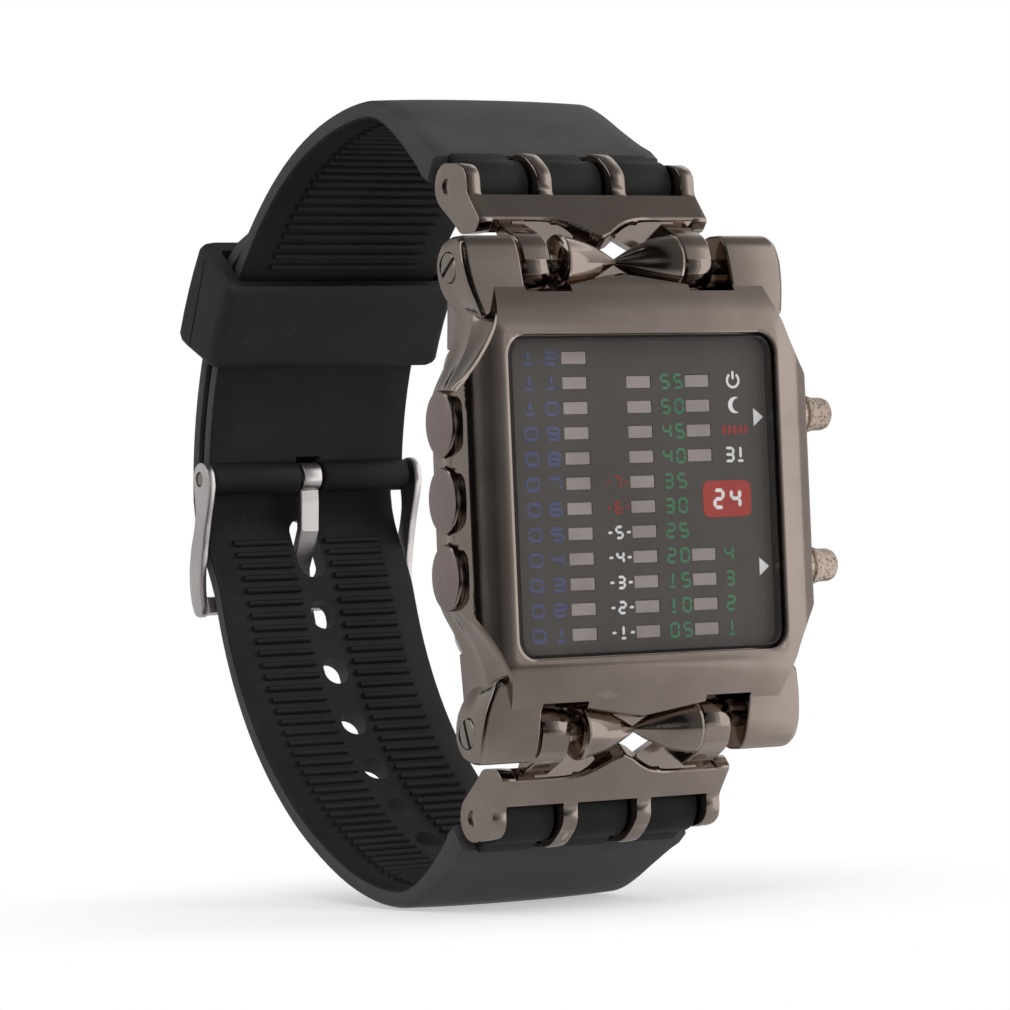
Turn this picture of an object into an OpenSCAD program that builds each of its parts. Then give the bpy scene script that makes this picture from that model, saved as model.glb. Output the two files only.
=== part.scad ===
// Wristwatch with a bar display, two pushers, hinged links and a buckled rubber strap.
// X points to 3 o'clock, Z to 12 o'clock, the face looks along -Y and the case back lies on Y = 0.

/* [Case] */
// Width over the side flanks
case_w = 40; // [38:0.5:42]
// Length of the front body from 6 to 12 o'clock
case_l = 40.2; // [39:0.2:42]
// Height of the window lip above the wrist
case_h = 13; // [12.6:0.1:14]
// Straight length of each flank
flank_l = 18; // [17:0.5:19]
// Width of the front body at its two ends
tip_w = 30; // [29:0.5:31]
// Height of the flanks' lower edge above the wrist
flank_base = 5; // [4.6:0.1:5.4]
// How far each flank leans in from its crest to its lower edge
flank_lean = 1; // [0.6:0.1:1.2]
// How far the front falls from the lip to the flanks
side_drop = 1.6; // [1.2:0.1:2]
// How far the front falls from the lip to the two ends
end_drop = 2.1; // [1.8:0.1:2.6]
// Rise of the ends' edge between the bow halves
end_rise = 1.1; // [0.8:0.1:1.4]
// Width of the lower box that the back closes
box_w = 29; // [28.6:0.1:30]
// Length of the lower box
box_l = 31; // [30.6:0.1:32]
// Corner radius of the lower box
box_r = 3; // [2.6:0.1:3.2]
// Width of the cavity for the module
cavity_w = 25.4; // [25:0.1:25.6]
// Length of the cavity
cavity_l = 27.4; // [27:0.1:27.6]
// Corner radius of the cavity
cavity_r = 3.5; // [3.3:0.1:4]

/* [Window] */
// Width of the window
window_w = 29.8; // [29.4:0.1:30.2]
// Length of the window
window_l = 30.4; // [30:0.1:30.8]
// Corner radius of the window
window_r = 2; // [1.6:0.1:3]
// Thickness of the crystal
crystal_t = 1.2; // [1:0.1:1.4]
// Bevel of the crystal's edge
crystal_bevel = 0.35; // [0.2:0.05:0.5]
// How far the crystal lies below the lip
crystal_sink = 0.15; // [0.05:0.05:0.3]
// Thickness of the printed plate under the crystal
dial_t = 0.3; // [0.2:0.05:0.5]
// Thickness of the gasket under the printed plate
gasket_t = 0.25; // [0.2:0.05:0.4]
// Gap around the crystal
crystal_gap = 0.1; // [0.05:0.01:0.15]

/* [Display bars] */
// Length of one light bar
bar_w = 2.65; // [2:0.05:3]
// Height of one light bar
bar_h = 1.15; // [0.8:0.05:1.4]
// Distance from one row of bars to the next
bar_pitch = 2.37; // [2.1:0.01:2.4]
// Centre of the hours column
hour_x = -6.97; // [-7.3:0.01:-6.6]
// Centre of the minutes column
minute_x = 0.12; // [-0.3:0.01:0.5]
// Centre of the units column
unit_x = 6.72; // [6.3:0.01:7]
// Gap between a bar and its slot
bar_gap = 0.05; // [0.03:0.01:0.08]

/* [Lugs and hinges] */
// Distance of the hinge axis beyond the front body's end
hinge_out = 1.8; // [1.7:0.05:2]
// Height of the hinge axis above the wrist
hinge_h = 7.3; // [7:0.1:7.5]
// Place of the lugs' inner faces from the middle
lug_in = 11.65; // [11.5:0.05:11.9]
// Width of each lug
lug_w = 6.15; // [5.6:0.05:6.4]
// Diameter of the hinge screws' shanks
screw_d = 1.5; // [1.2:0.1:1.6]
// Diameter of the hinge screws' heads
screw_head_d = 3; // [2.6:0.1:3.2]
// Height of the hinge screws' heads
screw_head_t = 0.9; // [0.7:0.1:1.1]
// Place of the bow's bases from the middle
bow_in = 6.5; // [6.3:0.05:6.7]
// Radius of the bow's bases
bow_r = 2.65; // [2.5:0.05:2.75]
// Radius of the bow's waist
bow_waist_r = 0.3; // [0.25:0.05:0.5]
// Height of the bow's axis above the wrist
bow_h = 8.3; // [8.2:0.05:8.5]
// Distance of the bow's axis beyond the front body's end
bow_out = 2.2; // [2.1:0.05:2.3]
// Depth of the notches for the link's knuckles
notch_depth = 0.75; // [0.7:0.05:1]

/* [Links] */
// Width over the link's outer ears
link_w = 25.8; // [25.6:0.1:26.2]
// Thickness of the outer ears
ear_t = 1.6; // [1.4:0.1:1.7]
// Thickness of the inner ears
inner_ear_t = 1.7; // [1.5:0.1:1.8]
// Centre of the inner ears from the middle
inner_ear_x = 4.15; // [4:0.05:4.3]
// Centre of the knuckles from the middle
knuckle_x = 9.1; // [9:0.05:9.2]
// Width of each knuckle
knuckle_w = 3.2; // [3:0.1:3.4]
// Radius of the knuckles
knuckle_r = 2.15; // [2:0.05:2.2]
// Thickness of the link's plate
plate_t = 2.1; // [1.8:0.1:2.3]
// How far the plate's wavy edge reaches towards the case at the middle
wave = 2.5; // [2.2:0.1:2.6]
// Place of the strap pin above the wrist side, behind the case back
pin_back = 0.8; // [0.6:0.1:1]
// Distance from the hinge axis to the strap pin along 12 o'clock
pin_out = 8.4; // [8.3:0.1:8.8]
// Diameter of the strap pins
pin_d = 1.5; // [1.3:0.1:1.6]
// Radius of the outer ears around the strap pin
ear_r = 2.3; // [2.2:0.05:2.4]
// Radius of the inner ears around the strap pin
inner_ear_r = 3.3; // [3:0.05:3.4]
// Radius of the strap's knuckles around its pin
strap_knuckle_r = 2.6; // [2.3:0.05:2.7]

/* [Strap] */
// Distance of the loop's centre behind the case back
loop_back = 17.5; // [17:0.1:18]
// Height of the loop's centre above the middle of the case
loop_up = 0.4; // [0:0.1:0.8]
// Radius of the short strap's inner face
loop_r = 38.1; // [37.8:0.1:38.4]
// Radius of the long strap's inner face where it lies alone
long_r = 37.3; // [37.1:0.1:37.5]
// Thickness of the strap
strap_t = 2.1; // [2:0.05:2.2]
// Thickness of the strap at its shoulders
shoulder_t = 3.6; // [3.2:0.1:3.8]
// Width of the strap over its shoulders
shoulder_w = 27; // [26.6:0.1:27.4]
// Width of the strap at the top of the loop
strap_w = 24.4; // [24.1:0.1:24.8]
// Width of the strap at the buckle
tail_w = 23.4; // [23:0.1:23.6]
// Slope of the strap where it leaves the link
strap_slope = 33; // [31:0.5:35]
// Gap between the two layers of strap
lap_gap = 0.35; // [0.3:0.05:0.45]
// Angle at which the free end of the long strap stops
tip_angle = 46; // [44:0.5:48]
// Distance between two tongue holes
hole_pitch = 6.6; // [6.2:0.1:7]
// Number of tongue holes
hole_count = 7; // [4:1:7]
// Width of the tongue holes
hole_w = 2.8; // [2.6:0.1:3]
// Length of the tongue holes
hole_l = 3.2; // [3:0.1:3.4]
// Length of the hole that the tongue holds open
held_hole_l = 6; // [5.6:0.1:6.4]

/* [Keeper] */
// Angle at which the keeper starts
keeper_angle = 25; // [24:0.5:26]
// Length of the keeper along the strap
keeper_l = 10.8; // [10:0.1:11.2]
// Wall of the keeper
keeper_t = 1.5; // [1.2:0.1:1.6]
// Thickness of the keeper's outer wall
keeper_outer_t = 2; // [1.6:0.1:2.2]
// Gap between the keeper and the straps
keeper_gap = 0.35; // [0.3:0.05:0.4]

/* [Buckle] */
// Width over the buckle's arms
buckle_w = 25.9; // [25.9:0.1:26.4]
// Thickness of the arms
arm_t = 0.9; // [0.8:0.1:1]
// Radius at which the spring bar sits
bar_r = 38.2; // [38.1:0.1:38.4]
// Angle at which the spring bar sits
bar_angle = 5.9; // [5.5:0.1:6.3]
// Diameter of the spring bar
bar_d = 1.5; // [1.4:0.1:1.6]
// Radius of the strap's eye around the spring bar
eye_r = 1.7; // [1.6:0.05:1.75]
// Radius of the arms' round ends
arm_r = 1.6; // [1.4:0.1:1.8]
// Angle of the crossbar's centre
cross_angle = -13.6; // [-14.2:0.1:-13.2]
// Thickness of the crossbar
cross_t = 1.3; // [1.1:0.1:1.5]
// Length of the crossbar's section along the strap
cross_l = 1.9; // [1.6:0.1:2.2]
// Width of the tongue
tongue_w = 2.2; // [2:0.1:2.3]
// Thickness of the tongue
tongue_t = 1; // [0.8:0.1:1.1]

/* [Pushers and studs] */
// Distance of each pusher from the middle
pusher_z = 7.4; // [7.2:0.1:7.6]
// Height of the pushers above the wrist
pusher_h = 8; // [7.8:0.1:8.2]
// Diameter of the pushers' caps
cap_d = 3.9; // [3.6:0.1:4.1]
// How far the caps stand out of the flank
cap_out = 4.1; // [3.9:0.1:4.6]
// Travel of the pushers
travel = 1; // [0.8:0.1:1.1]
// Diameter of the pushers' stems
stem_d = 1.6; // [1.4:0.1:1.7]
// Distance between two side studs
stud_pitch = 7.2; // [7:0.1:7.4]
// Height of the studs above the wrist
stud_h = 8.8; // [8.6:0.1:9]
// Diameter of the studs
stud_d = 6.3; // [6:0.1:6.4]
// Rise of the studs' domes
stud_rise = 0.4; // [0.3:0.05:0.6]
// Depth of the studs' recesses
stud_sink = 0.8; // [0.6:0.1:0.9]

/* [Module] */
// Thickness of the back
back_t = 1.2; // [1:0.1:1.3]
// Diameter of the battery
battery_d = 20; // [19:0.5:20.5]
// Thickness of the battery
battery_t = 3.2; // [3:0.1:3.2]
// Thickness of the circuit board
board_t = 0.8; // [0.6:0.1:1]
// Height of the board's lower face above the wrist
board_h = 9; // [8.9:0.1:9.1]
// Diameter of the back screws' shanks
back_screw_d = 1; // [0.8:0.1:1.1]

/* [Fits] */
// Radial clearance of a shaft that turns or slides
run_fit = 0.05; // [0.03:0.01:0.08]
// Clearance between pieces that are seated
seat_fit = 0.02; // [0.01:0.01:0.04]
// Clearance between pieces that are laid in
lay_gap = 0.1; // [0.05:0.01:0.15]
// Side clearance between hinged pieces
side_gap = 0.15; // [0.1:0.01:0.2]

/* [Hidden] */
$fn = 48;

// Margin by which a cut runs past the face it opens
past = 0.5;

// Heights in the case, above the wrist
crest_h = case_h - side_drop;
end_h = case_h - end_drop;
crystal_top = case_h - crystal_sink;
crystal_bottom = crystal_top - crystal_t;
dial_bottom = crystal_bottom - dial_t;
ledge_h = dial_bottom - gasket_t;
board_top = board_h + board_t;

// Hinges of the links, measured along 12 o'clock
hinge_z = case_l/2 + hinge_out;
bow_z = case_l/2 + bow_out;
lug_out = lug_in + lug_w;
notch_in = bow_in + 0.1;
pin_z = hinge_z + pin_out;

// Depth to which the hinge screws reach into the bow's bases
screw_tip = bow_in - 1.2;
slot_w = 0.4;
slot_depth = 0.4;
upper_slot_turn = -35;
lower_slot_turn = -70;

// The long strap's course: alone at long_r, then outside the short strap
lap_r = loop_r + strap_t + lap_gap;
leave_angle = -14;
lap_angle = 3;
rise_from = -60;
step = 3;

// Keeper and buckle around the layers
keeper_end = keeper_angle + keeper_l/(lap_r*PI/180);
keeper_in = loop_r - keeper_gap;
keeper_out = lap_r + strap_t + keeper_gap;
cross_in = long_r + strap_t + lap_gap;
arm_in = buckle_w/2 - arm_t;
slot_x = tongue_w/2 + 0.4;

// Pushers
pocket_depth = travel + 0.8;
pocket_r = cap_d/2 + lay_gap + 0.05;
cap_in = case_w/2 - 0.6;
wall_x = cavity_w/2;
spring_d = 0.35;
spring_r = stem_d/2 + 0.35 + spring_d/2;
spring_seat = wall_x + 2.6;
seal_x = wall_x + 1;
seal_wire = 0.42;
clip_t = 0.3;
clip_x = wall_x - 0.45;
stem_in = wall_x - 0.75;

// Back screws stand in the corners of the lower box
back_screw_x = box_w/2 - 1.7;
back_screw_z = box_l/2 - 1.7;
back_screw_head_d = back_screw_d + 0.8;
back_screw_head_t = 0.5;
back_screw_l = 3.4;

// Module
holder_low = back_t + 0.15;
battery_low = holder_low + 0.25;
battery_high = battery_low + battery_t;
floor_t = 0.7;
floor_low = battery_high + 0.2;
switch_w = 4;
switch_l = 2.6;
switch_t = 1.8;
stem_slot = 4.4;
chip_w = 7;
chip_t = 1.2;
can_l = 6;
can_r = 0.95;
part_l = 1.6;
part_w = 0.9;
part_t = 0.6;
part_pitch = 3;
contact_w = 3;
contact_l = 12;
clamp_w = 4;
clamp_l = battery_d + 2.2;
clamp_hole_r = 0.6;

// Turns a plan of the face, x to 3 and y to 12 o'clock, so that heights grow towards the face
module facing() {
    rotate([90, 0, 0]) children();
}

// Turns a side view, x backwards and y to 12 o'clock, so that its depth runs along X
module sideways() {
    rotate([90, 0, 90]) children();
}

// A plate seen from the side, centred at x with thickness t
module slab(x, t) {
    translate([x, 0, 0]) sideways() linear_extrude(height = t, center = true) children();
}

// The same piece on both sides, in X or in Z
module both_x() {
    children();
    mirror([1, 0, 0]) children();
}

module both_z() {
    children();
    mirror([0, 0, 1]) children();
}

// A cylinder along X from x0 to x1, at depth y and height z
module rod_x(x0, x1, r, y, z, r_end = -1) {
    translate([x0, y, z]) rotate([0, 90, 0])
        cylinder(h = x1 - x0, r1 = r, r2 = r_end < 0 ? r : r_end);
}

// A rounded rectangle with straight sides and true arcs
module rounded(w, l, r) {
    square([w - 2*r, l], center = true);
    square([w, l - 2*r], center = true);
    for (x = [-1, 1], y = [-1, 1])
        translate([x*(w/2 - r), y*(l/2 - r)]) circle(r = r);
}

// A rounded block of the case between two heights
module block(w, l, r, low, high) {
    facing() translate([0, 0, low]) linear_extrude(height = high - low) rounded(w, l, r);
}

// Points of a curve that starts at a, leaves towards b, arrives from c and ends at d
function curve(a, b, c, d, n) = [for (i = [0 : n]) let (t = i/n, s = 1 - t)
    s*s*s*a + 3*s*s*t*b + 3*s*t*t*c + t*t*t*d];
function reversed(p) = [for (i = [len(p) - 1 : -1 : 0]) p[i]];
function flip_x(p) = [for (q = p) [-q[0], q[1]]];
function flip_y(p) = [for (q = p) [q[0], -q[1]]];
function ease(t) = let (c = min(max(t, 0), 1)) c*c*(3 - 2*c);

// A place on the strap loop, in the side view, at radius r and angle a from the back
function on_loop(r, a) = [loop_back + r*cos(a), loop_up + r*sin(a)];

// Case
// One corner of the front outline, from the flank to the end of the front body
corner = curve([case_w/2, flank_l/2], [case_w/2, flank_l/2 + 2.9],
    [tip_w/2 + 0.6, flank_l/2 + 3.7], [tip_w/2, case_l/2], 10);
half_front = concat([[0, case_l/2 + end_rise], [bow_in, case_l/2]], reversed(corner));
front_outline = concat(half_front, reversed(flip_y(half_front)),
    flip_x(flip_y(half_front)), reversed(flip_x(half_front)));

// The front surface in section across the case, and along it
side_fall = curve([window_w/2 + 0.3, case_h], [window_w/2 + 2.6, case_h - 0.1],
    [case_w/2 - 0.7, crest_h + 0.9], [case_w/2, crest_h], 8);
end_fall = curve([window_l/2 + 0.3, case_h], [window_l/2 + 2, case_h - 0.3],
    [case_l/2 - 1.6, end_h + 1], [case_l/2, end_h], 6);
across = concat([[0, flank_base], [0, case_h]], side_fall, [[case_w/2 - flank_lean, flank_base]]);
along = concat([[0, flank_base], [0, case_h]], end_fall,
    [[case_l/2 + end_rise, end_h - 0.8], [case_l/2 + end_rise, flank_base]]);

module front_body() {
    intersection() {
        facing() translate([0, 0, flank_base]) linear_extrude(height = case_h) polygon(front_outline);
        both_x() rotate([180, 0, 0]) linear_extrude(height = 2*case_l, center = true) polygon(across);
        slab(0, 2*case_w) {
            polygon([for (p = along) [-p[1], p[0]]]);
            polygon([for (p = along) [-p[1], -p[0]]]);
        }
    }
}

// Side view of a lug around its hinge axis, as offsets backwards and outwards
lug_outline = [[-4.6, -5.3], [-3.7, -1.8], [-3.15, 0.6], [-2.6, 2.1], [-1.7, 2.95], [0.6, 3],
    [1.7, 2.4], [2.3, 0.8], [2.5, -1.5], [2.4, -3.2], [1.7, -4.6], [-1.1, -5.3]];
// Front view of a lug, whose outer edge bends in towards the flank, from its outer face and the axis
lug_bend = [[0, 4], [0, -1.8], [-0.4, -2.7], [-1.1, -3.6], [-2, -4.6], [-3.2, -5.6]];

module lug() {
    intersection() {
        translate([lug_in, 0, 0]) sideways() linear_extrude(height = lug_w)
            polygon([for (p = lug_outline) [p[0] - hinge_h, p[1] + hinge_z]]);
        facing() linear_extrude(height = case_h) polygon(concat([[0, case_l/4], [0, hinge_z + 4]],
            [for (p = lug_bend) [p[0] + lug_out, p[1] + hinge_z]], [[tip_w/2 - 2, case_l/4]]));
    }
}

// One half of the bow, a petal turned around its axis
bow_bulge = 0.4;
module bow_half() {
    translate([0, -bow_h, bow_z]) rotate([0, 90, 0]) rotate_extrude() polygon(concat([[0, 0]],
        [for (i = [0 : 6]) [bow_waist_r + (bow_r - bow_waist_r)*i/6 + bow_bulge*sin(30*i), bow_in*i/6]],
        [[0, bow_in]]));
}

// The rib behind the bow that ties it to the end of the case
module bow_rib() {
    translate([-bow_in + 1, -bow_h, case_l/2 - 1]) cube([2*bow_in - 2, 1.6, bow_out - 0.2]);
}

module pusher_bores(z) {
    rod_x(wall_x - past, case_w/2, stem_d/2 + run_fit, -pusher_h, z);
    rod_x(seal_x - seal_wire, seal_x + seal_wire, stem_d/2 + seal_wire + 0.1, -pusher_h, z);
    rod_x(spring_seat, case_w/2, spring_r + spring_d/2 + lay_gap, -pusher_h, z);
    rod_x(case_w/2 - pocket_depth, case_w/2 + past, pocket_r, -pusher_h, z);
}

module hinge_bore() {
    rod_x(screw_tip - 0.2, lug_out, screw_d/2 + seat_fit, -hinge_h, hinge_z);
    rod_x(lug_out - screw_head_t - seat_fit, lug_out + past, screw_head_d/2 + seat_fit, -hinge_h, hinge_z);
}

module notch() {
    translate([notch_in, -case_h, case_l/2 - notch_depth])
        cube([lug_in - notch_in, case_h, notch_depth + past]);
}

module at_back_screws() {
    for (x = [-1, 1], z = [-1, 1])
        translate([x*back_screw_x, 0, z*back_screw_z]) rotate([90, 0, 0]) children();
}

module gasket_ring(w, l, r, width, low, high) {
    difference() {
        block(w, l, r, low, high);
        block(w - 2*width, l - 2*width, r - width, low - past, high + past);
    }
}

module case_shell() {
    color("dimgray") difference() {
        union() {
            front_body();
            block(box_w, box_l, box_r, back_t, flank_base + 1);
            both_x() both_z() lug();
            both_x() both_z() bow_half();
            both_z() bow_rib();
        }
        block(window_w, window_l, window_r, ledge_h, case_h + past);
        block(cavity_w, cavity_l, cavity_r, 0, ledge_h + past);
        gasket_ring(cavity_w + 1.7, cavity_l + 1.7, cavity_r + 0.8, 0.7, 0, back_t + 0.5);
        both_x() both_z() notch();
        both_x() both_z() hinge_bore();
        for (z = [-1, 1]) pusher_bores(z*pusher_z);
        for (i = [-1 : 1]) mirror([1, 0, 0]) stud_recess(i*stud_pitch);
        at_back_screws() cylinder(h = back_screw_l + 0.3, r = back_screw_d/2 + seat_fit);
    }
}

module crystal() {
    w = window_w - 2*crystal_gap;
    l = window_l - 2*crystal_gap;
    r = window_r - crystal_gap;
    color("lightsteelblue", 0.5) hull() {
        block(w, l, r, crystal_bottom, crystal_top - crystal_bevel);
        block(w - 2*crystal_bevel, l - 2*crystal_bevel, r - crystal_bevel,
            crystal_top - crystal_bevel, crystal_top);
    }
}

module crystal_gasket() {
    color("black") gasket_ring(window_w - 2*crystal_gap, window_l - 2*crystal_gap,
        window_r - crystal_gap, 1.2, ledge_h, dial_bottom);
}

// Rows count from the top: hours in 12, minutes in 11, units in two groups of 4
rows = 12;
function row_z(i) = ((rows - 1)/2 - i)*bar_pitch;
bar_places = concat(
    [for (i = [0 : rows - 1]) [hour_x, row_z(i)]],
    [for (i = [1 : rows - 1]) [minute_x, row_z(i)]],
    [for (i = [1 : 4]) [unit_x, row_z(i)]],
    [for (i = [rows - 4 : rows - 1]) [unit_x, row_z(i)]]);

module bars(grow, low, high) {
    facing() for (p = bar_places) translate([p[0], p[1], (low + high)/2])
        cube([bar_w + 2*grow, bar_h + 2*grow, high - low], center = true);
}

module dial_plate() {
    color("darkslategray") difference() {
        block(window_w - 2*crystal_gap, window_l - 2*crystal_gap, window_r - crystal_gap,
            dial_bottom, crystal_bottom);
        bars(bar_gap, dial_bottom - past, crystal_bottom + past);
    }
}

module led_bars() {
    color("darkgray") bars(0, board_top, crystal_bottom - bar_gap);
}

// A plate of the module that fills the cavity, with room for the pushers' stems
module module_plate(low, high) {
    difference() {
        block(cavity_w - 2*lay_gap, cavity_l - 2*lay_gap, cavity_r - lay_gap, low, high);
        for (z = [-1, 1]) translate([wall_x - stem_slot/2, -pusher_h - stem_slot/2, z*pusher_z - stem_slot/2])
            cube(stem_slot);
    }
}

module circuit_board() {
    color("darkgreen") module_plate(board_h, board_top);
}

module board_components() {
    high = board_h;
    color("dimgray") {
        for (z = [-1, 1]) translate([wall_x - stem_slot/2 - switch_l + 0.4, -high, z*pusher_z - switch_w/2])
            cube([switch_l, switch_t, switch_w]);
        translate([-chip_w/2, -high, -chip_w/2]) cube([chip_w, chip_t, chip_w]);
        rod_x(-can_l, 0, can_r, -high + can_r, chip_w/2 + 4*can_r);
        for (i = [0 : 3]) translate([-chip_w/2 - 3*part_l, -high, (i - 3)*part_pitch])
            cube([part_l, part_t, part_w]);
    }
}

module module_holder() {
    color("ivory") difference() {
        module_plate(holder_low, board_h);
        facing() translate([0, 0, holder_low - past])
            cylinder(h = floor_low - holder_low + past, r = battery_d/2 + lay_gap);
        block(cavity_w - 4, cavity_l - 4, cavity_r - 1.5, floor_low + floor_t, board_h + past);
        translate([-clamp_w/2 - lay_gap, -floor_low - 0.2, -clamp_l/2 - lay_gap])
            cube([clamp_w + 2*lay_gap, floor_low - holder_low + 0.2 + past, clamp_l + 2*lay_gap]);
    }
}

module battery() {
    color("silver") facing() translate([0, 0, battery_low]) {
        cylinder(h = battery_t - 0.4, r = battery_d/2);
        cylinder(h = battery_t, r = battery_d/2 - 1.6);
    }
}

module battery_contact() {
    color("gold") translate([-contact_w/2, -floor_low, -contact_l/2])
        cube([contact_w, floor_low - battery_high, contact_l]);
}

module battery_clamp() {
    t = battery_low - holder_low;
    color("silver") difference() {
        translate([-clamp_w/2, -battery_low, -clamp_l/2]) cube([clamp_w, t, clamp_l]);
        for (z = [-1, 1]) translate([0, 0, z*clamp_l/3]) facing()
            cylinder(h = battery_low + past, r = clamp_hole_r);
    }
}

module case_back() {
    color("lightgray") difference() {
        block(box_w, box_l, box_r, 0, back_t);
        at_back_screws() translate([0, 0, -past]) cylinder(h = back_t + 2*past, r = back_screw_d/2 + seat_fit);
        at_back_screws() translate([0, 0, -past])
            cylinder(h = back_screw_head_t + past, r = back_screw_head_d/2 + seat_fit);
    }
}

module case_back_gasket() {
    color("black") gasket_ring(cavity_w + 1.6, cavity_l + 1.6, cavity_r + 0.75, 0.6, back_t, back_t + 0.48);
}

module back_screws() {
    color("silver") at_back_screws() difference() {
        union() {
            cylinder(h = back_screw_l, r = back_screw_d/2);
            cylinder(h = back_screw_head_t, r = back_screw_head_d/2);
        }
        translate([-back_screw_head_d, -0.12, -past]) cube([2*back_screw_head_d, 0.24, past + 0.25]);
    }
}

// Side studs on the left flank, drawn on the right and mirrored
stud_shank = 1.6;
module stud_recess(z) {
    rod_x(case_w/2 - stud_sink, case_w/2 + past, stud_d/2 + lay_gap + 0.05, -stud_h, z);
    rod_x(case_w/2 - stud_sink - stud_shank - 0.2, case_w/2, stud_d/4 + seat_fit, -stud_h, z);
}

module side_studs() {
    dome_r = (pow(stud_d/2, 2) + pow(stud_rise, 2))/(2*stud_rise);
    seat = case_w/2 - stud_sink;
    color("dimgray") for (i = [-1 : 1]) mirror([1, 0, 0]) {
        rod_x(seat - stud_shank, seat, stud_d/4, -stud_h, i*stud_pitch);
        translate([seat, -stud_h, i*stud_pitch]) rotate([0, 90, 0]) rotate_extrude() intersection() {
            translate([0, stud_sink - 0.2 + stud_rise - dome_r]) circle(r = dome_r);
            square([stud_d/2, stud_sink + stud_rise]);
        }
    }
}

module pusher(z) {
    tip = case_w/2 + cap_out;
    dome = 0.5;
    color("tan") {
        rod_x(stem_in, cap_in + 0.5, stem_d/2, -pusher_h, z);
        rod_x(cap_in, tip - dome, cap_d/2, -pusher_h, z);
        rod_x(tip - dome, tip, cap_d/2, -pusher_h, z, cap_d/2 - 0.7);
    }
}

module upper_pusher() {
    pusher(pusher_z);
}

module lower_pusher() {
    pusher(-pusher_z);
}

// A coil spring around the stem, between its seat and the cap
spring_turns = 5;
spring_sides = 6;
spring_steps = 12;
spring_l = cap_in - spring_seat - 0.06;
function spring_point(i, j) = let (a = 360*i/spring_steps, b = 360*j/spring_sides,
    r = spring_r + spring_d/2*cos(b),
    rise = spring_l - spring_d)
    [spring_d/2 + rise*i/(spring_turns*spring_steps) + spring_d/2*sin(b), r*cos(a), r*sin(a)];

module pusher_spring(z) {
    rings = spring_turns*spring_steps;
    points = [for (i = [0 : rings], j = [0 : spring_sides - 1]) spring_point(i, j)];
    walls = [for (i = [0 : rings - 1], j = [0 : spring_sides - 1], k = [0, 1])
        let (n = spring_sides, a = i*n + j, b = i*n + (j + 1) % n)
        k == 0 ? [a, b, a + n] : [b, b + n, a + n]];
    ends = [[for (j = [spring_sides - 1 : -1 : 0]) j], [for (j = [0 : spring_sides - 1]) rings*spring_sides + j]];
    color("silver") translate([spring_seat + 0.03, -pusher_h, z])
        polyhedron(points = points, faces = concat(walls, ends));
}

module upper_pusher_spring() {
    pusher_spring(pusher_z);
}

module lower_pusher_spring() {
    pusher_spring(-pusher_z);
}

module pusher_seals() {
    ring_r = stem_d/2 + run_fit/2 + seal_wire/2;
    color("black") for (z = [-1, 1]) translate([seal_x, -pusher_h, z*pusher_z]) rotate([0, 90, 0])
        rotate_extrude() translate([ring_r, 0]) circle(r = seal_wire/2);
}

module pusher_clip(z) {
    color("silver") difference() {
        rod_x(clip_x, clip_x + clip_t, stem_d/2 + 0.7, -pusher_h, z);
        rod_x(clip_x - past, clip_x + clip_t + past, stem_d/2, -pusher_h, z);
    }
}

module upper_pusher_clip() {
    pusher_clip(pusher_z);
}

module lower_pusher_clip() {
    pusher_clip(-pusher_z);
}

module hinge_screw(slot_turn) {
    difference() {
        union() {
            rod_x(screw_tip, lug_out - 0.1, screw_d/2, -hinge_h, hinge_z);
            rod_x(lug_out - screw_head_t, lug_out, screw_head_d/2, -hinge_h, hinge_z);
        }
        translate([lug_out - slot_depth, -hinge_h, hinge_z]) rotate([slot_turn, 0, 0])
            translate([0, -screw_head_d, -slot_w/2]) cube([slot_depth + past, 2*screw_head_d, slot_w]);
    }
}

module hinge_screws() {
    color("gray") both_x() {
        hinge_screw(upper_slot_turn);
        mirror([0, 0, 1]) hinge_screw(lower_slot_turn);
    }
}

// Link
// Side view of an ear as offsets from the strap pin, backwards and outwards
ear_outline = [[0, ear_r], [-1.7, 2.2], [-3.1, 1.5], [-3.9, 0.4], [-3.9, -0.9], [-6.1, -3.7],
    [-5.1, -4.8], [-2.3, -4.8], [-1.1, -3.7], [1.4, -1.82], [0, 0]];
// Side view of a knuckle's arm as offsets from the hinge axis
arm_outline = [[-2.05, 0.5], [-1.6, 2.2], [-0.3, 3.6], [1.9, 4.9], [4, 6.6], [4.6, 5.6], [2.6, 3], [2, 0.7]];
// Upper front edge of the plate as an offset from the strap pin, and the plate's slope
plate_top = [-3.9, -0.9];
plate_slope = 51;
// Plan of the plate, seen square to its slope, whose edge waves towards the bow's waist
plate_w = link_w - 0.2;
plate_l = 3.4;
half_wave = concat([[0, -plate_l - wave]], curve([0.8, 0.3 - plate_l - wave], [2.8, -plate_l - 0.7],
    [3.6, -plate_l], [6.4, -plate_l], 5));
plate_plan = concat(reversed(flip_x(half_wave)), half_wave,
    [[plate_w/2, -plate_l], [plate_w/2, 0], [-plate_w/2, 0], [-plate_w/2, -plate_l]]);

function around_pin(points) = [for (p = points) [p[0] + pin_back, p[1] + pin_z]];

module ear(x, t, r) {
    slab(x, t) {
        polygon(around_pin(ear_outline));
        translate([pin_back, pin_z]) circle(r = r);
    }
}

// A gusset between a knuckle and the plate's back, as offsets from the hinge axis
module gusset() {
    facing() translate([0, hinge_z, hinge_h - 3.8]) linear_extrude(height = 1.4)
        polygon([[2.4, 4.6], [2.4, 3], [4.6, 1.8], [knuckle_x, 1.5], [knuckle_x, 4.6]]);
}

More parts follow.
